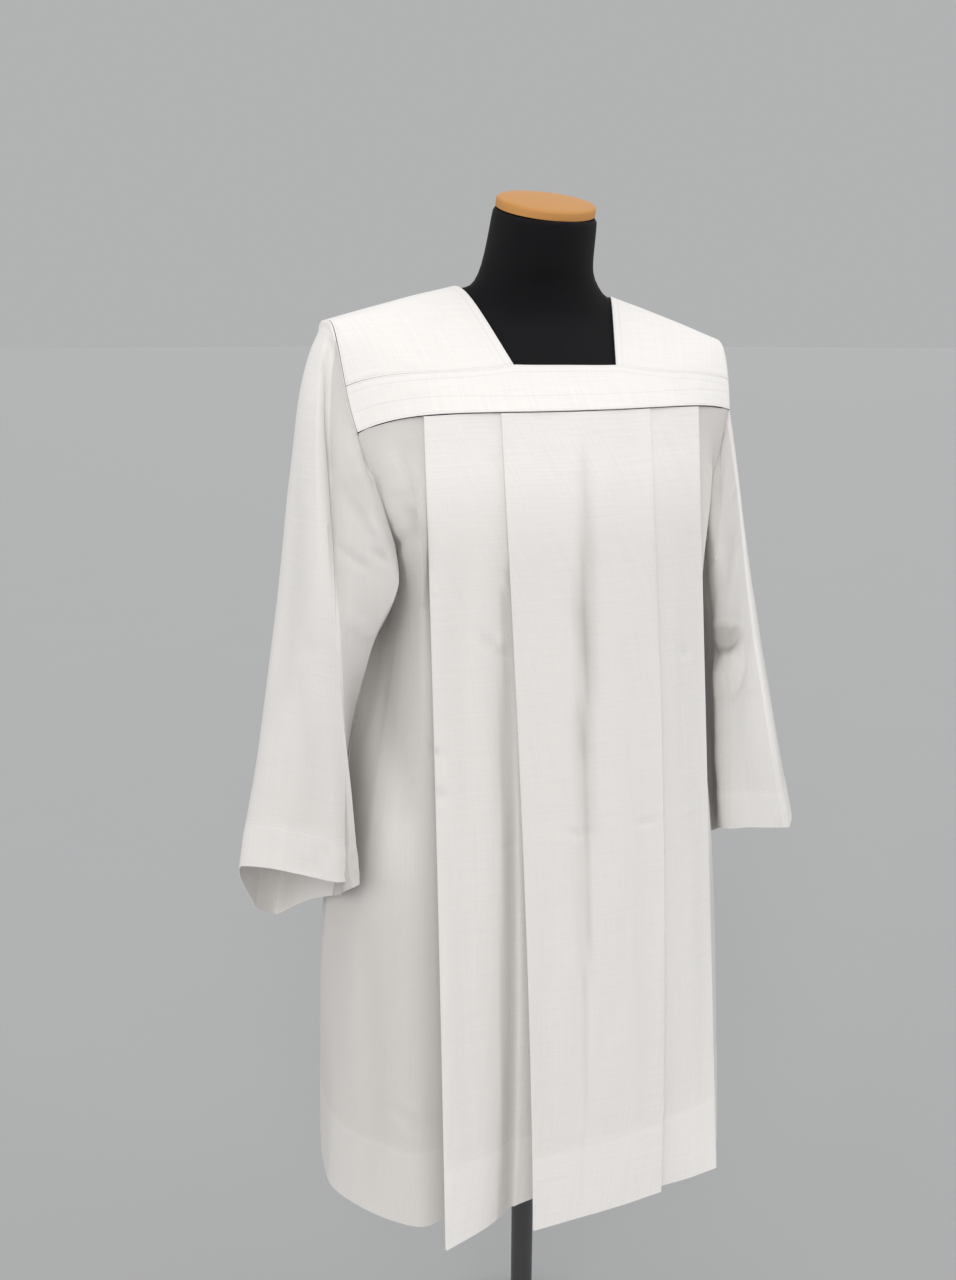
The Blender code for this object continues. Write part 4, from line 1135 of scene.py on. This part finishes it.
# ---------------------------------------------------------------- sleeves
def sleeve_grid(hand):
    """The sleeve's grid, and the sleeve line that each column lies past."""
    spans = [count * SLEEVE_FINE for count in SLEEVE_SPANS]
    seam = armhole_loop(hand, YOKE_CLOTH / 2, SLEEVE_FINE) + (hand * (SEAM_GAP + CLOTH / 2), 0, 0)
    starts = [seam[sum(spans[:i])] for i in range(len(spans))]

    def ring(t):
        places = []
        for line, start in zip(SLEEVE_LINES[hand], starts):
            stations = [hand_point(hand, *station) for station in line]
            places.append(through(list(SLEEVE_STATIONS.values()), [start] + stations, t))
        return line_through(places, SLEEVE_ROUND[hand], spans, closed=True)

    sag = seam - ring(0)
    grid = []
    for r in range(SLEEVE_FINE_ROWS + 1):
        t = (r / SLEEVE_FINE_ROWS) ** SLEEVE_ROW_POWER
        grid.append(ring(t) + sag * max(0.0, 1 - t / SLEEVE_STATIONS["upper"]) ** 2)
    return np.array(grid), places_for(spans)[:-1]


def sleeve(hand):
    """One sleeve with its pressed crease, soft folds and cuff hem."""
    settings = cloth_settings()
    name = HANDS[hand]["name"]
    grid, place = sleeve_grid(hand)
    outward = grid_normals(grid, closed=True)
    middle = grid.mean(axis=1, keepdims=True)
    outward *= np.sign(np.sum(outward * (grid - middle)))
    down = arc_lengths(grid, 0)
    keep = smooth_step(0.0, SEAM_HOLD, down)
    first, last = SLEEVE_FACES["outer"]
    faces = {"outer": ((place >= first) | (place <= last), (1, 2))}
    for face in ("front", "back"):
        first, last = SLEEVE_FACES[face]
        faces[face] = ((place >= first) & (place <= last), (0, 2))
    grid = ripple(grid, outward, keep, RIPPLE_HEIGHT, SLEEVE_RIPPLE, SLEEVE_SEED + hand)
    depth = pressed(grid, faces, marks_on(SLEEVE_CREASES, hand)) * keep * settings.creases
    fall = down / down[-1:]
    # painted light and shade: each face painted whiter or darker by how the light falls on it, with painted
    # shade in the troughs and from the marks
    backing_and_shade = lerp(*SLEEVE_LIGHT_AND_SHADE["back"], fall)
    for face in ("front", "outer"):
        backing_and_shade = np.where(faces[face][0], lerp(*SLEEVE_LIGHT_AND_SHADE[face], fall), backing_and_shade)
    # painted shade and painted light from the sleeve's marks
    painted_spots = painted_marks(grid, faces, marks_on(SLEEVE_PAINTED_SHADE, hand))
    backing_and_shade = backing_and_shade + DIP_SHADE * np.minimum(depth, 0) - painted_spots
    grid = grid + outward * depth[..., None]
    down = arc_lengths(grid, 0)
    hem = 1 - smooth_step(settings.cuff_hem - HEM_STEP, settings.cuff_hem + HEM_STEP, down[-1:] - down)
    ridge = np.exp(-(((down - RIDGE_AT) / RIDGE_WIDTH) ** 2)) * RIDGE_RISE
    grid = grid + outward * (hem * HEM_RISE + ridge)[..., None]
    finish = hemmed_cloth("sleeve_cloth", settings.cuff_hem)
    piece = shell(f"cloth_sleeve_{name}", grid, CLOTH, True, finish, f"sleeve_{name}", backing_and_shade)


# ---------------------------------------------------------------- materials
class Wire:
    """A value in a material's node tree. Python's operators join it to others through Math nodes."""

    def __init__(self, tree, socket):
        self.tree = tree
        self.socket = socket

    def math(self, operation, *others):
        inputs = dict(enumerate((self, *others)))
        made = add_node(self.tree, "ShaderNodeMath", {"operation": operation}, inputs)
        return Wire(self.tree, made.outputs[0])

    def flipped(self, operation, other):
        made = add_node(self.tree, "ShaderNodeMath", {"operation": operation}, {0: other, 1: self})
        return Wire(self.tree, made.outputs[0])

    def __add__(self, other):
        return self.math("ADD", other)

    __radd__ = __add__

    def __sub__(self, other):
        return self.math("SUBTRACT", other)

    def __rsub__(self, other):
        return self.flipped("SUBTRACT", other)

    def __mul__(self, other):
        return self.math("MULTIPLY", other)

    __rmul__ = __mul__

    def __truediv__(self, other):
        return self.math("DIVIDE", other)

    def __rtruediv__(self, other):
        return self.flipped("DIVIDE", other)

    def __abs__(self):
        return self.math("ABSOLUTE")

    def sine(self):
        return self.math("SINE")

    def clamp(self):
        settings = {"operation": "ADD", "use_clamp": True}
        return Wire(self.tree, add_node(self.tree, "ShaderNodeMath", settings, {0: self, 1: 0.0}).outputs[0])


def add_node(tree, kind, settings, inputs):
    """A new node: first its settings, then a value or a wire for each of its inputs, by name or number."""
    made = tree.nodes.new(kind)
    for key, value in settings.items():
        setattr(made, key, value)
    for key, value in inputs.items():
        if isinstance(value, Wire):
            tree.links.new(value.socket, made.inputs[key])
        else:
            made.inputs[key].default_value = value
    return made


class Finish:
    """A material whose shader has its constants, and takes wires for what varies."""

    def __init__(self, name, **constants):
        self.material = bpy.data.materials.new(name)
        self.material.use_nodes = True
        self.tree = self.material.node_tree
        self.shader = self.tree.nodes["Principled BSDF"]
        for key, value in constants.items():
            self.shader.inputs[key.replace("_", " ").title().replace("Ior", "IOR")].default_value = value

    def node(self, kind, settings, inputs, out=0):
        """The wire that leaves a new node at one of its outputs, by name or number."""
        return Wire(self.tree, add_node(self.tree, kind, settings, inputs).outputs[out])

    def mix(self, share, a, b):
        """A colour between two, each a wire or three numbers."""
        first, second = (end if isinstance(end, Wire) else (*end, 1) for end in (a, b))
        inputs = {MIX_SHARE: share, MIX_COLOURS[0]: first, MIX_COLOURS[1]: second}
        return self.node("ShaderNodeMix", {"data_type": "RGBA"}, inputs, out=MIX_RESULT)

    def parts(self, vector, count):
        """The first parts of a vector: x, y and z in turn."""
        sockets = add_node(self.tree, "ShaderNodeSeparateXYZ", {}, {0: vector}).outputs
        return [Wire(self.tree, sockets[i]) for i in range(count)]

    def edge_distances(self, name):
        """The two coordinates of a UV map, which are distances over the cloth in metres."""
        return self.parts(self.node("ShaderNodeUVMap", {"uv_map": name}, {}), 2)

    def place(self):
        """Object coordinates."""
        return self.node("ShaderNodeTexCoord", {}, {}, out="Object")

    def joined(self, x, y, z):
        return self.node("ShaderNodeCombineXYZ", {}, {0: x, 1: y, 2: z})

    def cloud(self, vector, scale, detail, roughness):
        """A soft noise between 0 and 1."""
        inputs = {"Vector": vector, "Scale": scale, "Detail": detail, "Roughness": roughness}
        return self.node("ShaderNodeTexNoise", {}, inputs)

    def surface(self, colour, roughness=None, height=None):
        """Joins what varies to the shader. height is in millimetres."""
        self.tree.links.new(colour.socket, self.shader.inputs["Base Color"])
        if roughness:
            self.tree.links.new(roughness.socket, self.shader.inputs["Roughness"])
        if height:
            inputs = {"Strength": 1.0, "Distance": BUMP_UNIT, "Height": height}
            bump = self.node("ShaderNodeBump", {}, inputs)
            self.tree.links.new(bump.socket, self.shader.inputs["Normal"])
        return self.material


def shades(colour, ends):
    """The darkest and lightest of a finish, from its colour and their shares of it."""
    return [[share * part for part in colour] for share in ends]


def stitch_line(distance, along, at, length):
    """A sewn line: how dark it is and how high it stands, in millimetres."""
    near = (1.0 - abs(distance - at) / STITCH_WIDTH).clamp()
    size, lift = STITCH_LOBE
    thread = ((along * (WAVE / length)).sine() * size + lift).clamp()
    return near, near * (thread * STITCH_RISE - STITCH_SINK)


def woven(name, lines, hem=None):
    """White cloth. lines gives each sewn line's UV map, its coordinate there and its distance from that edge.
    hem is how far a hem's upper edge is from the lower edge. The cloth looks whiter where its backing is more
    cloth and where painted light lies on it, and darker where painted shade lies on it."""
    settings = cloth_settings()
    finish = Finish(name, roughness=0.82, sheen_weight=0.10, sheen_roughness=0.5, specular_ior_level=0.25)
    edges = {"near": finish.edge_distances("near"), "far": finish.edge_distances("far")}
    across, down = edges["near"]
    turn = math.pi / settings.thread
    height = (across * turn).sine() * (down * turn).sine() * WEAVE_RISE
    clouds = {}
    for kind, (scale_across, scale_down, start, detail, roughness, rise) in CLOTH_NOISE.items():
        vector = finish.joined(across * scale_across, down * scale_down, start)
        clouds[kind] = finish.cloud(vector, 1.0, detail, roughness)
        height = height + clouds[kind] * rise
    sewn = []
    for map_name, coordinate, at in lines:
        distance, along = edges[map_name][coordinate], edges["near"][1 - coordinate]
        dark, rise = stitch_line(distance, along, at, settings.stitch)
        height = height + rise
        sewn.append(dark)
    # the backing attribute, which also holds the cloth's painted light and painted shade
    backing_and_shade = finish.node("ShaderNodeAttribute", {"attribute_name": "backing_and_shade"}, {}, out=ATTRIBUTE_VALUE)
    if hem:
        inside = ((hem - edges["far"][1]) * HEM_EDGE + 0.5).clamp()
        backing_and_shade = backing_and_shade + inside * HEM_SHARE
    colour = finish.mix(backing_and_shade, settings.colour, settings.double_colour)
    slub = ((clouds["weft"] + clouds["warp"] - 1.0) * SLUB_CONTRAST + 0.5).clamp()
    colour = finish.mix(slub * SLUB_SHARE, colour, SLUB_SHADE)
    colour = finish.mix((sum(sewn[1:], sewn[0]) * STITCH_SHARE).clamp(), colour, STITCH_SHADE)
    roughness = 0.76 + clouds["weft"] * 0.12
    return finish.surface(colour, roughness, height)


def once(name, make):
    """A material by its name, made the first time it is asked for."""
    return bpy.data.materials.get(name) or make()


def hemmed_cloth(name, hem):
    """The cloth of a piece with a hem of this depth, sewn just under its upper edge."""
    return once(name, lambda: woven(name, [("far", 1, hem - HEM_STITCH)], hem))


def jersey():
    finish = Finish("jersey", roughness=0.95, sheen_weight=0.03, sheen_roughness=0.6, specular_ior_level=0.15)
    place = finish.place()
    fuzz = finish.cloud(place, scale=900.0, detail=2.0, roughness=0.6)
    blotch = finish.cloud(place, scale=30.0, detail=3.0, roughness=0.6)
    rib = (finish.parts(place, 3)[2] * (WAVE / JERSEY_COURSE)).sine() * 0.5 + fuzz
    share = (fuzz * 0.6 + blotch * 0.4).clamp()
    roughness = 0.88 + fuzz * 0.1
    height = rib * 0.12 + blotch * 0.3
    return finish.surface(finish.mix(share, *shades(form_settings().jersey, JERSEY_RANGE)), roughness, height)


def varnished_wood():
    settings = form_settings()
    constants = {"roughness": 0.38, "coat_weight": 0.85, "coat_roughness": 0.12, "specular_ior_level": 0.5}
    finish = Finish("varnished_wood", **constants)
    place = finish.place()
    x, y, z = finish.parts(place, 3)
    wander = finish.cloud(place, scale=16.0, detail=3.0, roughness=0.5)
    lines = ((y + wander * WOOD_WANDER) * WOOD_LINES + x * WOOD_LEAN).sine() * 0.5 + 0.5
    fine, long = (x * 40.0, y * 900.0, z * 900.0), (x * 9.0, y * 45.0, z * 45.0)
    fibre = finish.cloud(finish.joined(*fine), scale=1.0, detail=3.0, roughness=0.6)
    flame = finish.cloud(finish.joined(*long), scale=1.0, detail=2.0, roughness=0.5)
    share = (lines * 0.35 + fibre * 0.45 + flame * 0.55 - 0.25).clamp()
    roughness = 0.30 + fibre * 0.18
    height = fibre * 0.05
    return finish.surface(finish.mix(share, settings.wood, settings.wood_grain), roughness, height)


def coated_steel():
    finish = Finish("coated_steel", metallic=0.0, roughness=0.42, coat_weight=0.15, coat_roughness=0.3)
    place = finish.place()
    speck = finish.cloud(place, scale=1400.0, detail=2.0, roughness=0.5)
    wear = finish.cloud(place, scale=22.0, detail=4.0, roughness=0.6)
    share = (wear * 0.7).clamp()
    roughness = 0.34 + wear * 0.2
    height = speck * 0.05
    return finish.surface(finish.mix(share, *shades(form_settings().steel, STEEL_RANGE)), roughness, height)


def stage_floor():
    finish = Finish("stage_floor", roughness=0.9, specular_ior_level=0.2)
    haze = finish.cloud(finish.place(), scale=3.0, detail=3.0, roughness=0.5)
    return finish.surface(finish.mix(haze, *shades(stage_settings().floor, FLOOR_RANGE)))


# ---------------------------------------------------------------- dress form and stand
def choose(piece):
    """Only this piece selected and active."""
    bpy.ops.object.select_all(action="DESELECT")
    piece.select_set(True)
    bpy.context.view_layer.objects.active = piece


def copy_of_node(node, name):
    """A new piece from a solid: its loose triangles joined into one mesh of quads."""
    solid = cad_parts[node]
    piece = bpy.data.objects.new(name, solid.data.copy())
    bpy.context.scene.collection.objects.link(piece)
    choose(piece)
    bpy.ops.object.mode_set(mode="EDIT")
    bpy.ops.mesh.select_all(action="SELECT")
    bpy.ops.mesh.remove_doubles(threshold=MERGE)
    bpy.ops.mesh.tris_convert_to_quads(face_threshold=QUAD_ANGLE, shape_threshold=QUAD_ANGLE)
    bpy.ops.object.mode_set(mode="OBJECT")
    return piece


def settle(piece, node, finish):
    """The piece's place goes into its mesh, and it takes its finish, its body and its solid's place."""
    choose(piece)
    bpy.ops.object.transform_apply(location=True, rotation=True, scale=True)
    piece.data.materials.clear()
    piece.data.materials.append(finish)
    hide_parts(node)
    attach(piece, "root")


def form_body():
    """The torso and neck under their jersey cover."""
    piece = copy_of_node("form_body", "jersey_form")
    smooth = piece.modifiers.new("Round", "SUBSURF")
    smooth.levels = FORM_LEVELS
    smooth.render_levels = FORM_LEVELS
    bpy.ops.object.modifier_apply(modifier=smooth.name)
    bpy.ops.object.shade_smooth_by_angle(angle=FORM_SMOOTH)
    settle(piece, "form_body", once("jersey", jersey))


def round_bar(name, radius, low, high, bevel, segments):
    """A turned upright piece with a rounded upper rim."""
    bpy.ops.object.select_all(action="DESELECT")
    bpy.ops.mesh.primitive_cylinder_add(
        vertices=TURNED_SIDES, radius=radius, depth=high - low, location=(0, 0, (low + high) / 2)
    )
    piece = bpy.context.object
    piece.name = name
    bpy.ops.object.mode_set(mode="EDIT")
    bpy.ops.mesh.select_all(action="DESELECT")
    bpy.ops.object.mode_set(mode="OBJECT")
    for edge in piece.data.edges:
        heights = [piece.data.vertices[i].co.z for i in edge.vertices]
        edge.select = abs(heights[0] - heights[1]) < MERGE and heights[0] > 0
    bpy.ops.object.mode_set(mode="EDIT")
    bpy.ops.mesh.bevel(offset=bevel, segments=segments, affect="EDGES")
    bpy.ops.object.mode_set(mode="OBJECT")
    bpy.ops.object.shade_smooth_by_angle(angle=TURNED_SMOOTH)
    return piece


def neck_cap():
    """The wooden disc on the neck, tilted as the neck's top is."""
    low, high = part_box("form_neck_cap")
    half = CAP_THICKNESS / 2
    piece = round_bar("wooden_neck_cap", CAP_RADIUS, -half, half, CAP_ROUND, CAP_ROUND_STEPS)
    piece.rotation_euler = (NECK_TILT, 0, 0)
    piece.location = (Vector(low) + Vector(high)) / 2
    settle(piece, "form_neck_cap", once("varnished_wood", varnished_wood))


def stand():
    """The foot, its socket and the rod."""
    for node, bevel in (("stand_foot", FOOT_ROUND), ("stand_socket", FOOT_ROUND), ("stand_rod", ROD_ROUND)):
        low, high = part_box(node)
        radius = (high[0] - low[0]) / 2
        piece = round_bar(f"steel_{node}", radius, low[2], high[2], bevel, STEEL_ROUND_STEPS)
        settle(piece, node, once("coated_steel", coated_steel))


# ---------------------------------------------------------------- stage
def lamp(row):
    """A wide soft lamp, far off, that shines on the garment and evenly on the floor."""
    data = bpy.data.lights.new(row["name"], "SUN")
    data.angle = math.radians(row["spread"])
    data.energy = row["power"] * stage_settings().light
    data.color = row["colour"]
    made = bpy.data.objects.new(row["name"], data)
    made.rotation_euler = (math.pi / 2 - math.radians(row["height"]), 0, -math.radians(row["bearing"]))
    made.location = (0, 0, LAMP_PLACE)
    bpy.context.scene.collection.objects.link(made)


def stage():
    """The floor, the lamps, the sky's even light and the camera."""
    bpy.ops.object.select_all(action="DESELECT")
    bpy.ops.mesh.primitive_circle_add(
        vertices=STAGE_SIDES, radius=STAGE_RADIUS, fill_type="NGON", location=(0, 0, 0)
    )
    floor = bpy.context.object
    floor.name = "stage_floor"
    floor.data.materials.append(stage_floor())
    for row in rows_of(LAMP_COLUMNS, LAMPS):
        lamp(row)
    world = bpy.data.worlds.new("stage_world")
    world.use_nodes = True
    sky = world.node_tree.nodes["Background"].inputs
    sky["Color"].default_value = (*WORLD_COLOUR, 1)
    sky["Strength"].default_value = WORLD_STRENGTH
    bpy.context.scene.world = world
    data = bpy.data.cameras.new("stage_camera")
    data.sensor_width = CAMERA_SENSOR
    data.lens = CAMERA_LENS
    data.clip_end = CAMERA_REACH
    camera = bpy.data.objects.new("stage_camera", data)
    camera.location = CAMERA_PLACE
    camera.rotation_euler = (math.pi / 2 - CAMERA_PITCH, 0, CAMERA_YAW)
    bpy.context.scene.collection.objects.link(camera)
    bpy.context.scene.camera = camera
    bpy.context.scene.view_settings.view_transform = "Standard"


# ---------------------------------------------------------------- operators and panel
class SURPLICE_OT_skirt(bpy.types.Operator):
    """Makes the front and back panels with their pleats and hem."""

    bl_idname = "surplice.skirt"
    bl_label = "Skirt panels"

    def execute(self, context):
        for side in SIDES:
            skirt(side)
        return {"FINISHED"}


class SURPLICE_OT_yoke(bpy.types.Operator):
    """Makes the two bands and the two shoulder pieces of the yoke."""

    bl_idname = "surplice.yoke"
    bl_label = "Yoke"

    def execute(self, context):
        for side in SIDES:
            yoke_band(side)
        for hand in HANDS:
            yoke_shoulder(hand)
        return {"FINISHED"}


class SURPLICE_OT_sleeves(bpy.types.Operator):
    """Makes both sleeves with their creases and cuff hems."""

    bl_idname = "surplice.sleeves"
    bl_label = "Sleeves"

    def execute(self, context):
        for hand in HANDS:
            sleeve(hand)
        return {"FINISHED"}


class SURPLICE_OT_form(bpy.types.Operator):
    """Makes the jersey-covered torso and neck."""

    bl_idname = "surplice.form"
    bl_label = "Dress form"

    def execute(self, context):
        form_body()
        return {"FINISHED"}


class SURPLICE_OT_cap(bpy.types.Operator):
    """Makes the wooden disc on the neck."""

    bl_idname = "surplice.cap"
    bl_label = "Neck cap"

    def execute(self, context):
        neck_cap()
        return {"FINISHED"}


class SURPLICE_OT_stand(bpy.types.Operator):
    """Makes the foot, the socket and the rod."""

    bl_idname = "surplice.stand"
    bl_label = "Stand"

    def execute(self, context):
        stand()
        return {"FINISHED"}


class SURPLICE_OT_stage(bpy.types.Operator):
    """Makes the floor, the lamps and the camera."""

    bl_idname = "surplice.stage"
    bl_label = "Stage"

    def execute(self, context):
        stage()
        return {"FINISHED"}


class SURPLICE_PT_panel(bpy.types.Panel):
    """Lists the settings and the operators."""

    bl_label = "Surplice"
    bl_space_type = "VIEW_3D"
    bl_region_type = "UI"
    bl_category = "Surplice"

    def draw(self, context):
        for settings in (cloth_settings(), form_settings(), stage_settings()):
            for key in settings.__annotations__:
                self.layout.prop(settings, key)
        for operator in OPERATORS:
            self.layout.operator(operator.bl_idname)


OPERATORS = (
    SURPLICE_OT_skirt,
    SURPLICE_OT_yoke,
    SURPLICE_OT_sleeves,
    SURPLICE_OT_form,
    SURPLICE_OT_cap,
    SURPLICE_OT_stand,
    SURPLICE_OT_stage,
)
CLASSES = (ClothSettings, FormSettings, StageSettings, *OPERATORS, SURPLICE_PT_panel)


def register():
    for made in CLASSES:
        bpy.utils.register_class(made)
    bpy.types.Scene.surplice_cloth = bpy.props.PointerProperty(type=ClothSettings)
    bpy.types.Scene.surplice_form = bpy.props.PointerProperty(type=FormSettings)
    bpy.types.Scene.surplice_stage = bpy.props.PointerProperty(type=StageSettings)


def unregister():
    for name in ("surplice_cloth", "surplice_form", "surplice_stage"):
        delattr(bpy.types.Scene, name)
    for made in reversed(CLASSES):
        bpy.utils.unregister_class(made)


def main():
    register()
    bpy.ops.surplice.skirt()
    bpy.ops.surplice.yoke()
    bpy.ops.surplice.sleeves()
    bpy.ops.surplice.form()
    bpy.ops.surplice.cap()
    bpy.ops.surplice.stand()
    bpy.ops.surplice.stage()


if __name__ == "__main__":
    main()
